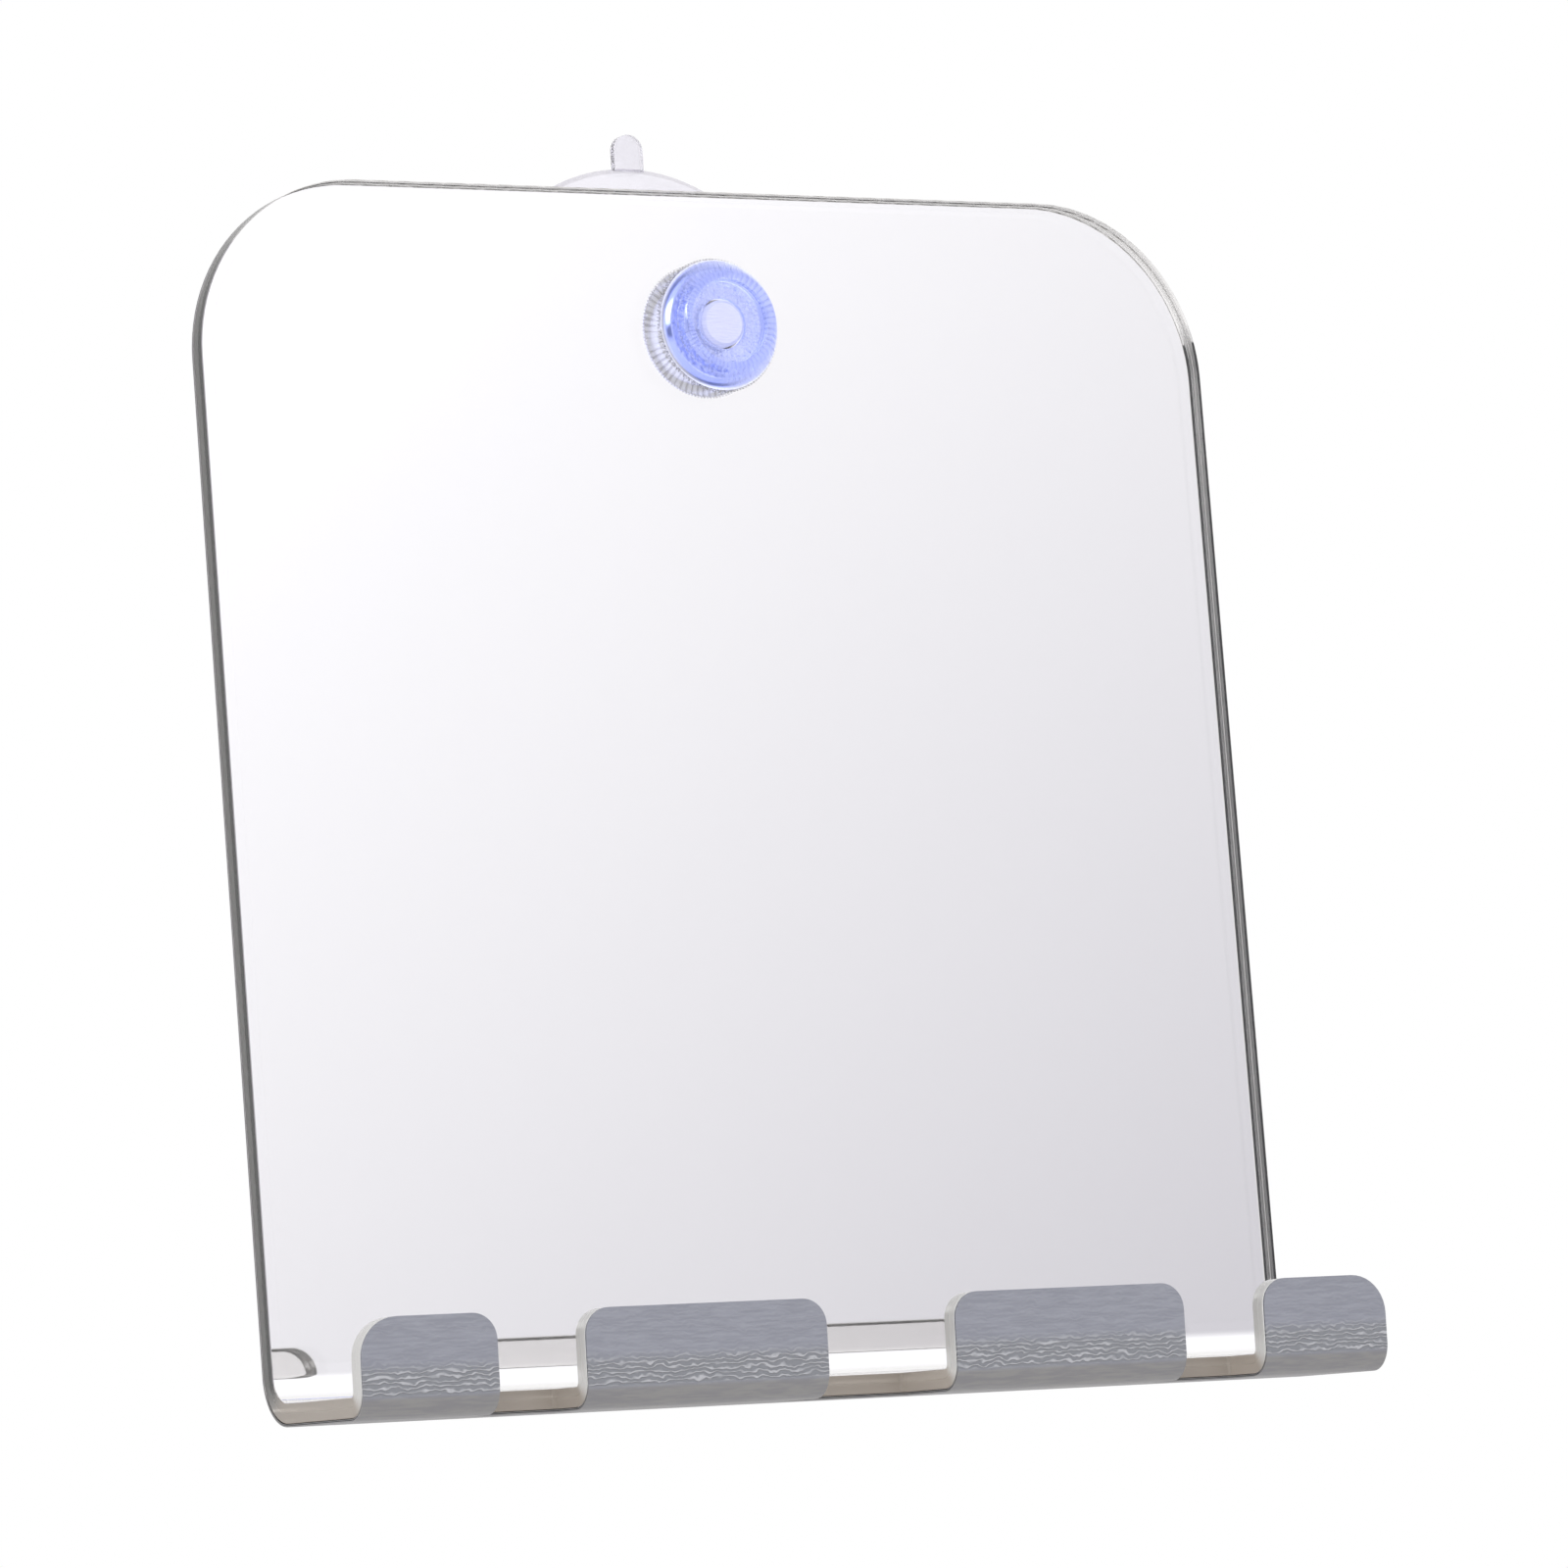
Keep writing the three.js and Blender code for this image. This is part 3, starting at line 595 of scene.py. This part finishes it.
def fill_round_hole(bm, hole_radius, centre_z):
    """Swaps the one face of an outline for triangles that leave a round hole."""
    bmesh.ops.delete(bm, geom=list(bm.faces), context="FACES_ONLY")
    upright = Matrix.Translation((0, 0, centre_z)) @ Matrix.Rotation(math.pi / 2, 4, "X")
    bmesh.ops.create_circle(bm, segments=ROUND_STEPS // 2, radius=hole_radius, matrix=upright)
    bmesh.ops.triangle_fill(bm, use_beauty=True, use_dissolve=False, edges=list(bm.edges))


def cut_across(bm, place, direction):
    """Cuts every face along a plane, which leaves one more row of edges there."""
    geometry = list(bm.verts) + list(bm.edges) + list(bm.faces)
    bmesh.ops.bisect_plane(bm, geom=geometry, dist=ON_PLANE, plane_co=place,
                           plane_no=direction)


class Bend:
    """The J that the flat blank is bent to, as distances run along the back of the acrylic."""

    def __init__(self, s):
        self.depth = s.back_depth
        self.top = s.stud_to_top
        self.drop = s.tray_drop
        self.rear, self.front = s.rear_bend, s.front_bend
        self.rear_start = s.upright
        self.rear_turn = math.pi / 2 - s.tray_drop
        self.ledge_start = self.rear_start + self.rear * self.rear_turn
        self.front_start = self.ledge_start + s.ledge
        self.lip_start = self.front_start + self.front * math.pi / 2
        self.end = self.lip_start + s.lip
        self.rear_centre = Vector((self.rear, self.top - self.rear_start))
        along = Vector((math.cos(self.drop), -math.sin(self.drop)))
        off = Vector((math.sin(self.drop), math.cos(self.drop)))
        self.along = along
        self.front_centre = self.rear_centre - self.rear * off + s.ledge * along + self.front * off

    def rows(self):
        """Where the blank needs rows of edges, so that its bends come out round."""
        rows = [self.rear_start - HOLD, self.ledge_start + HOLD]
        rows += [self.front_start - HOLD, self.lip_start + HOLD]
        for step in range(BEND_STEPS + 1):
            share = step / BEND_STEPS
            rows.append(self.rear_start + share * (self.ledge_start - self.rear_start))
            rows.append(self.front_start + share * (self.lip_start - self.front_start))
        return rows

    def place(self, run, out):
        """Depth and height of a point run along the blank and out behind its back face."""
        if run <= self.rear_start:
            return Vector((-out, self.top - run))
        if run <= self.ledge_start:
            turn = math.pi + (run - self.rear_start) / self.rear
            return self.rear_centre + (self.rear + out) * Vector((math.cos(turn), math.sin(turn)))
        off = Vector((-math.sin(self.drop), -math.cos(self.drop)))
        if run <= self.front_start:
            start = self.rear_centre + (self.rear + out) * off
            return start + (run - self.ledge_start) * self.along
        turn = 1.5 * math.pi - self.drop
        turn += min(run - self.front_start, self.lip_start - self.front_start) / self.front
        spoke = Vector((math.cos(turn), math.sin(turn)))
        place = self.front_centre + (self.front + out) * spoke
        if run > self.lip_start:
            place += (run - self.lip_start) * Vector((-spoke.y, spoke.x))
        return place


def slot_edges(s):
    """Left edge, right edge and depth of each slot, from left to right."""
    outer = s.width / 2 - s.end_tab - s.narrow_slot / 2
    places = [(-outer, s.narrow_slot, s.narrow_depth), (0, s.wide_slot, s.wide_depth),
              (outer, s.narrow_slot, s.narrow_depth)]
    return [(middle - wide / 2, middle + wide / 2, deep) for middle, wide, deep in places]


def blank_outline(bm, s, bend):
    """The flat blank: rounded top corners, and slots that leave four tabs with rounded corners."""
    half = s.width / 2
    foot = -bend.end
    points = [(-half, 0), (half, 0), (half, foot)]
    tab_corners, slot_corners = [], []
    for left, right, deep in reversed(slot_edges(s)):
        blind = -(bend.front_start - deep)
        points += [(right, foot), (right, blind), (left, blind), (left, foot)]
        tab_corners += [(right, foot), (left, foot)]
        slot_corners += [(right, blind), (left, blind)]
    points.append((-half, foot))
    bm.faces.new([bm.verts.new((x, 0, z)) for x, z in points])
    round_corners(bm, corners_at(bm, [(-half, 0), (half, 0)]), s.top_corner, CORNER_STEPS)
    round_corners(bm, corners_at(bm, tab_corners), s.tab_corner, TAB_CORNER_STEPS)
    round_corners(bm, corners_at(bm, [(-half, foot), (half, foot)]), s.outer_corner,
                  TAB_CORNER_STEPS)
    round_corners(bm, corners_at(bm, slot_corners), s.slot_corner, SLOT_CORNER_STEPS)


def thicken(bm, near, far, chamfer=0.0):
    """Gives a flat layer its thickness along y, and marks its faces polished, sawn or bonded."""
    bmesh.ops.translate(bm, verts=list(bm.verts), vec=(0, near, 0))
    grown = bmesh.ops.extrude_face_region(bm, geom=list(bm.faces))
    moved = [v for v in grown["geom"] if isinstance(v, bmesh.types.BMVert)]
    bmesh.ops.translate(bm, verts=moved, vec=(0, far - near, 0))
    bmesh.ops.recalc_face_normals(bm, faces=list(bm.faces))
    for face in bm.faces:
        facing = face.normal.y
        face.material_index = (SAWN if abs(facing) < LEVEL else
                               BONDED if facing > 0 else POLISHED)
    if chamfer > 0:
        # The edges where a sawn face meets another
        rims = [e for e in bm.edges
                if len({f.material_index == SAWN for f in e.link_faces}) == 2]
        cut = bmesh.ops.bevel(bm, geom=rims, offset=chamfer, segments=1, profile=0.5,
                              affect="EDGES", material=-1)
        for face in cut["faces"]:
            face.material_index = SAWN


def formed_layer(s, near, far, chamfer=0.0):
    """A layer of the J between two distances behind the back face, the far one further back."""
    bend = Bend(s)
    bm = bmesh.new()
    blank_outline(bm, s, bend)
    fill_round_hole(bm, s.hole, -s.stud_to_top)
    for run in bend.rows():
        cut_across(bm, (0, 0, -run), (0, 0, 1))
    thicken(bm, near, far, chamfer)
    blank = bm.verts.layers.float_vector.new(BLANK_PLACE)
    for v in bm.verts:
        v[blank] = (v.co.x, -v.co.z, v.co.y)
        deep, high = bend.place(-v.co.z, v.co.y)
        v.co = (v.co.x, -(bend.depth + deep), high)
    return bm


class MIRROR_OT_sheet(bpy.types.Operator):
    """Cuts the blank, bends it to a J and lays the film, the paint and the fog-free film on it"""

    bl_idname = "mirror.sheet"
    bl_label = "Sheet and its films"

    def execute(self, context):
        s, finishes = context.scene.mirror_sheet_sizes, context.scene.mirror_finishes
        clear, sawn, film = acrylic(finishes), sawn_acrylic(finishes), mirror_film(finishes)
        paint = backing_paint(finishes)
        bm = formed_layer(s, -s.thickness, 0, s.chamfer)
        make_object(bm, "Acrylic_sheet", [clear, sawn, film], "mirror",
                    "mirror_sheet")
        bm = formed_layer(s, LAYER, 2 * LAYER)
        make_object(bm, "Mirror_film", [film, paint, film], "mirror",
                    "reflective_film")
        bm = formed_layer(s, 3 * LAYER, 5 * LAYER)
        make_object(bm, "Backing_paint", [paint, paint, paint], "mirror",
                    "grey_coat")
        coating = fog_free_coating(finishes)
        make_object(fog_film(s), "Fog_free_film", [coating] * 3, "mirror",
                    "fog_free_film")
        return {"FINISHED"}


def fog_film(s):
    """A thin flat film on the face, short of the sheet's edges and of the rear bend."""
    half = s.width / 2 - s.fog_film_inset
    top = -s.fog_film_inset
    foot = -(s.upright - s.fog_film_inset)
    bm = bmesh.new()
    corners = [(-half, top), (half, top), (half, foot), (-half, foot)]
    bm.faces.new([bm.verts.new((x, 0, z)) for x, z in corners])
    radius = s.top_corner - s.fog_film_inset
    round_corners(bm, corners_at(bm, corners[:2]), radius, CORNER_STEPS)
    round_corners(bm, corners_at(bm, corners[2:]), s.fog_film_foot, TAB_CORNER_STEPS)
    fill_round_hole(bm, s.hole, -s.stud_to_top)
    thicken(bm, -s.thickness - 2 * LAYER, -s.thickness - LAYER)
    bmesh.ops.translate(bm, verts=list(bm.verts), vec=(0, -s.back_depth, s.stud_to_top))
    return bm


def spun(points, steps=ROUND_STEPS):
    """Spins a closed profile of radius and depth about the stud's axis."""
    bm = bmesh.new()
    verts = [bm.verts.new((radius, -deep, 0)) for radius, deep in points]
    edges = [bm.edges.new(pair) for pair in zip(verts, verts[1:])]
    if points[0][0] > 0:
        edges.append(bm.edges.new((verts[-1], verts[0])))
    bmesh.ops.spin(
        bm, geom=verts + edges, cent=(0, 0, 0), axis=(0, 1, 0), dvec=(0, 0, 0),
        angle=2 * math.pi, steps=steps, use_merge=True,
    )
    bmesh.ops.remove_doubles(bm, verts=list(bm.verts), dist=NEAR)
    bmesh.ops.recalc_face_normals(bm, faces=list(bm.faces))
    return bm


def curve(start, end, handles=QUARTER_ROUND):
    """Points of a Bezier curve after its start, in radius and depth."""
    (radius, deep), (to_radius, to_deep) = start, end
    between = [(radius + across * (to_radius - radius), deep + down * (to_deep - deep))
               for across, down in handles]
    corners = [Vector((*p, 0)) for p in (start, *between, end)]
    return [(p.x, p.y) for p in interpolate_bezier(*corners, CURVE_POINTS)][1:]


def cup_profile(s):
    """Half the cup in section: its pocket, bore and neck, the dome, the rim and the bowl."""
    shoulder = s.bowl + s.wall
    inner = s.neck + s.flare
    mouth = s.radius - s.land
    profile = [(0, s.pocket_floor), (s.pocket, s.pocket_floor), (s.pocket, s.pocket_mouth),
               (s.bore, s.pocket_mouth), (s.bore, s.height), (s.neck, s.height),
               (s.neck, shoulder + s.flare)]
    profile += curve((s.neck, shoulder + s.flare), (inner, shoulder))
    profile += curve((inner, shoulder), (s.radius, s.rim), CUP_DOME)
    profile += [(s.radius, 0), (mouth, 0)]
    profile += curve((mouth, 0), (0, s.bowl), CUP_BOWL)
    return profile


def add_pull_tab(bm, s):
    """Stands the tab on the rim, a little off the wall and leaning away from it."""
    half = s.tab_width / 2
    foot, top = s.radius - s.tab_root, s.radius + s.tab_reach
    tab = bmesh.new()
    corners = [(-half, foot), (half, foot), (half, top), (-half, top)]
    tab.faces.new([tab.verts.new((x, 0, z)) for x, z in corners])
    round_corners(tab, corners_at(tab, corners[2:]), half, CORNER_STEPS // 2)
    bmesh.ops.remove_doubles(tab, verts=list(tab.verts), dist=NEAR)
    grown = bmesh.ops.extrude_face_region(tab, geom=list(tab.faces))
    moved = [v for v in grown["geom"] if isinstance(v, bmesh.types.BMVert)]
    bmesh.ops.translate(tab, verts=moved, vec=(0, -s.tab_thickness, 0))
    bmesh.ops.recalc_face_normals(tab, faces=list(tab.faces))
    lean = Matrix.Rotation(s.tab_lean, 4, "X")
    foot_place = Vector((0, 0, foot))
    lift = Matrix.Translation(foot_place + Vector((0, -s.tab_lift, 0)))
    standing = lift @ lean @ Matrix.Translation(-foot_place)
    bmesh.ops.transform(tab, verts=list(tab.verts), matrix=standing)
    mesh = bpy.data.meshes.new("Pull_tab")
    tab.to_mesh(mesh)
    tab.free()
    bm.from_mesh(mesh)
    bpy.data.meshes.remove(mesh)


class MIRROR_OT_cup(bpy.types.Operator):
    """Spins the soft suction cup and sets its pull tab on the rim"""

    bl_idname = "mirror.cup"
    bl_label = "Suction cup"

    def execute(self, context):
        s, finishes = context.scene.mirror_cup_sizes, context.scene.mirror_finishes
        bm = spun(cup_profile(s))
        add_pull_tab(bm, s)
        piece = make_object(bm, "Suction_cup", [clear_vinyl(finishes)], None,
                            "suction_cup")
        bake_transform(piece)
        return {"FINISHED"}


class MIRROR_OT_stud(bpy.types.Operator):
    """Turns the stud, whose head sits in the neck of the cup"""

    bl_idname = "mirror.stud"
    bl_label = "Stud"

    def execute(self, context):
        s, finishes = context.scene.mirror_clamp_sizes, context.scene.mirror_finishes
        profile = [(0, s.stud_end), (s.stud - STUD_CHAMFER, s.stud_end),
                   (s.stud, s.stud_end - STUD_CHAMFER), (s.stud, s.head_face),
                   (s.head, s.head_face), (s.head, s.head_back), (0, s.head_back)]
        make_object(spun(profile), "Stud", [clear_nylon(finishes)], "stud",
                    "threaded_stud")
        return {"FINISHED"}


def washer_profile(s):
    """A flat ring, with rows of vertices on both faces for its serrations."""
    back, front = s.washer_depth, s.washer_depth + s.washer_thickness
    rows = [s.bore, s.serrations, s.serrations + s.tooth, s.washer - s.tooth, s.washer]
    return [(row, back) for row in rows] + [(row, front) for row in reversed(rows)]


def serrate(bm, s):
    """Cuts every second spoke of the ring back: notches in its rim, grooves in its faces."""
    middle = s.washer_depth + s.washer_thickness / 2
    step = math.pi / WASHER_TEETH
    notch = (s.washer - s.tooth) / s.washer
    for v in bm.verts:
        radius = math.hypot(v.co.x, v.co.z)
        if round(math.atan2(v.co.z, v.co.x) / step) % 2 == 0:
            continue
        if radius > s.washer - s.tooth / 2:
            v.co.x *= notch
            v.co.z *= notch
        if radius > s.serrations + s.tooth / 2:
            v.co.y += math.copysign(s.groove, -middle - v.co.y)


class MIRROR_OT_washer(bpy.types.Operator):
    """Cuts the clear toothed washer"""

    bl_idname = "mirror.washer"
    bl_label = "Washer"

    def execute(self, context):
        s, finishes = context.scene.mirror_clamp_sizes, context.scene.mirror_finishes
        bm = spun(washer_profile(s), 2 * WASHER_TEETH)
        plastic = washer_plastic(finishes)
        serrate(bm, s)
        make_object(bm, "Clamp_washer", [plastic], "washer",
                    "clamp_washer")
        return {"FINISHED"}


def nut_profile(s):
    """Half the nut in section: its bore, recess, domed ring and rounded foot."""
    crest = s.nut_depth + s.nut_height
    widest = s.nut_depth + s.widest
    floor = s.nut_depth + s.recess_floor
    crest_radius = s.recess + NUT_CREST * (s.nut - s.recess)
    rim = crest - s.recess_drop
    profile = [(s.bore, s.nut_depth), (s.bore, floor), (s.recess, floor), (s.recess, rim)]
    profile += curve((s.recess, rim), (crest_radius, crest))
    profile += curve((crest_radius, crest), (s.nut, widest), NUT_DOME)
    profile += curve((s.nut, widest), (s.nut - FOOT_ROUND, s.nut_depth))
    return profile


class MIRROR_OT_nut(bpy.types.Operator):
    """Spins the blue thumb nut, a domed ring round a recess"""

    bl_idname = "mirror.nut"
    bl_label = "Thumb nut"

    def execute(self, context):
        s, finishes = context.scene.mirror_clamp_sizes, context.scene.mirror_finishes
        make_object(spun(nut_profile(s)), "Thumb_nut", [blue_plastic(finishes)], "nut",
                    "thumb_nut")
        return {"FINISHED"}


def add_camera():
    """Puts the camera where the photo was taken from."""
    azimuth, elevation, roll = (math.radians(angle) for angle in CAMERA_TURN)
    ahead = Vector((math.sin(azimuth) * math.cos(elevation),
                    math.cos(azimuth) * math.cos(elevation), math.sin(elevation)))
    level = Vector((math.cos(azimuth), -math.sin(azimuth), 0))
    upward = level.cross(ahead)
    right = math.cos(roll) * level + math.sin(roll) * upward
    up = -math.sin(roll) * level + math.cos(roll) * upward
    data = bpy.data.cameras.new("Camera")
    data.sensor_width = SENSOR_WIDTH
    data.lens = FOCAL_PIXELS / PICTURE_PIXELS * SENSOR_WIDTH
    camera = bpy.data.objects.new("Camera", data)
    bpy.context.collection.objects.link(camera)
    turned = Matrix((right, up, -ahead)).transposed().to_4x4()
    camera.matrix_world = Matrix.Translation(CAMERA_PLACE) @ turned
    bpy.context.scene.camera = camera


def add_world():
    """White behind the object, a wall in front that fades to the lower right, and a dark side
    round the camera, as in a studio; scattered light comes from a plain soft dome."""
    world = bpy.data.worlds.new("Studio")
    bpy.context.scene.world = world
    world.use_nodes = True
    tree = world.node_tree
    tree.nodes.clear()
    path = add_node(tree, "ShaderNodeLightPath")
    ray = add_node(tree, "ShaderNodeTexCoord").outputs["Generated"]
    mirrored = add_node(tree, "ShaderNodeMath", [
        path.outputs["Is Glossy Ray"], path.outputs["Is Transmission Ray"]],
        operation="ADD", use_clamp=True)
    # The wall in front of the mirror
    fading = add_node(tree, "ShaderNodeVectorMath", [ray, WALL_FADE], operation="DOT_PRODUCT")
    wall = add_node(tree, "ShaderNodeMath", [fading, WALL_LEVEL], operation="ADD")
    level = add_node(tree, "ShaderNodeMapRange", [wall, 0.5, 1.0])
    shades = add_node(tree, "ShaderNodeMix", [level, WALL_SHADE, WALL_WHITE],
                      data_type="RGBA")
    forward = add_node(tree, "ShaderNodeVectorMath", [ray, (0, -1, 0)],
                       operation="DOT_PRODUCT")
    ahead = add_node(tree, "ShaderNodeMapRange", [forward, 0.1, 0.5], **EASED)
    in_front = add_node(tree, "ShaderNodeMix", [ahead, WHITE, shades], data_type="RGBA")
    # The dark side of the studio, behind the camera
    beside = add_node(tree, "ShaderNodeVectorMath", [ray, DARK_SIDE],
                      operation="DOT_PRODUCT")
    dark = add_node(tree, "ShaderNodeMapRange", [beside, *DARK_EDGE], **EASED)
    studio = add_node(tree, "ShaderNodeMix", [dark, in_front, linear("#2C2C2E")],
                      data_type="RGBA")
    seen = add_node(tree, "ShaderNodeMix", [mirrored, WHITE, studio], data_type="RGBA")
    # Soft light on the object, a little less and warmer from below
    rising = add_node(tree, "ShaderNodeVectorMath", [ray, (0, 0, 1)],
                      operation="DOT_PRODUCT")
    upward = add_node(tree, "ShaderNodeMapRange", [rising, -0.4, 0.4], **EASED)
    dome = add_node(tree, "ShaderNodeMix", [upward, linear("#C0BAB3"), linear("#F2F2F4")],
                    data_type="RGBA")
    straight = add_node(tree, "ShaderNodeMath", [path.outputs["Is Camera Ray"], mirrored],
                        operation="ADD", use_clamp=True)
    light = add_node(tree, "ShaderNodeBackground", {"Color": dome})
    white = add_node(tree, "ShaderNodeBackground", {"Color": seen})
    mix = add_node(tree, "ShaderNodeMixShader", [straight, light, white])
    add_node(tree, "ShaderNodeOutputWorld", {"Surface": mix})


def add_key_lamp():
    """Hangs a square soft box high up behind the camera."""
    data = bpy.data.lights.new("Key", "AREA")
    data.shape, data.size, data.energy = "SQUARE", KEY_SIZE, KEY_POWER
    lamp = bpy.data.objects.new("Key", data)
    bpy.context.collection.objects.link(lamp)
    lamp.location = KEY_PLACE
    lamp.rotation_mode = "QUATERNION"
    towards = Vector(KEY_TARGET) - Vector(KEY_PLACE)
    lamp.rotation_quaternion = towards.to_track_quat("-Z", "Y")


def add_floor():
    """Lays a wide floor below the mirror."""
    # Matt card, pale grey, too far below the mirror to be more than a soft light from there
    material, tree = new_material("Pale floor card")
    shader = add_node(tree, "ShaderNodeBsdfPrincipled", {
        "Base Color": linear("#F2F1F0"), "Roughness": 0.6})
    add_node(tree, "ShaderNodeOutputMaterial", {"Surface": shader})
    bm = bmesh.new()
    bmesh.ops.create_grid(bm, x_segments=1, y_segments=1, size=FLOOR_REACH)
    bmesh.ops.translate(bm, verts=list(bm.verts), vec=(0, 0, FLOOR_HEIGHT))
    mesh = bpy.data.meshes.new("Floor")
    bm.to_mesh(mesh)
    bm.free()
    mesh.materials.append(material)
    floor = bpy.data.objects.new("Floor", mesh)
    bpy.context.collection.objects.link(floor)


class MIRROR_OT_stage(bpy.types.Operator):
    """Sets up the camera, the soft studio light and the pale floor"""

    bl_idname = "mirror.stage"
    bl_label = "Stage"

    def execute(self, context):
        add_camera()
        add_world()
        add_key_lamp()
        add_floor()
        context.scene.view_settings.view_transform = "Standard"
        return {"FINISHED"}


OPERATORS = (MIRROR_OT_stage, MIRROR_OT_cup, MIRROR_OT_stud, MIRROR_OT_sheet,
             MIRROR_OT_washer, MIRROR_OT_nut)


class MIRROR_PT_parts(bpy.types.Panel):
    """Lists the pieces of the mirror and the stage"""

    bl_idname = "MIRROR_PT_parts"
    bl_label = "Shower mirror"
    bl_space_type = "VIEW_3D"
    bl_region_type = "UI"
    bl_category = SIDEBAR_TAB

    def draw(self, context):
        for operator in OPERATORS:
            self.layout.operator(operator.bl_idname)


GROUPS = {
    "mirror_sheet_sizes": SheetSizes,
    "mirror_cup_sizes": CupSizes,
    "mirror_clamp_sizes": ClampSizes,
    "mirror_finishes": Finishes,
}


def register():
    """Registers the sizes and colours, the operators and the panel."""
    for group in GROUPS.values():
        bpy.utils.register_class(group)
    for name, group in GROUPS.items():
        setattr(bpy.types.Scene, name, PointerProperty(type=group))
    for operator in OPERATORS:
        bpy.utils.register_class(operator)
    bpy.utils.register_class(MIRROR_PT_parts)


def unregister():
    """Takes back what register did."""
    bpy.utils.unregister_class(MIRROR_PT_parts)
    for operator in reversed(OPERATORS):
        bpy.utils.unregister_class(operator)
    for name, group in GROUPS.items():
        delattr(bpy.types.Scene, name)
        bpy.utils.unregister_class(group)


def main():
    """Builds the stage and every piece."""
    register()
    bpy.ops.mirror.stage()
    bpy.ops.mirror.cup()
    bpy.ops.mirror.stud()
    bpy.ops.mirror.sheet()
    bpy.ops.mirror.washer()
    bpy.ops.mirror.nut()


if __name__ == "__main__":
    main()
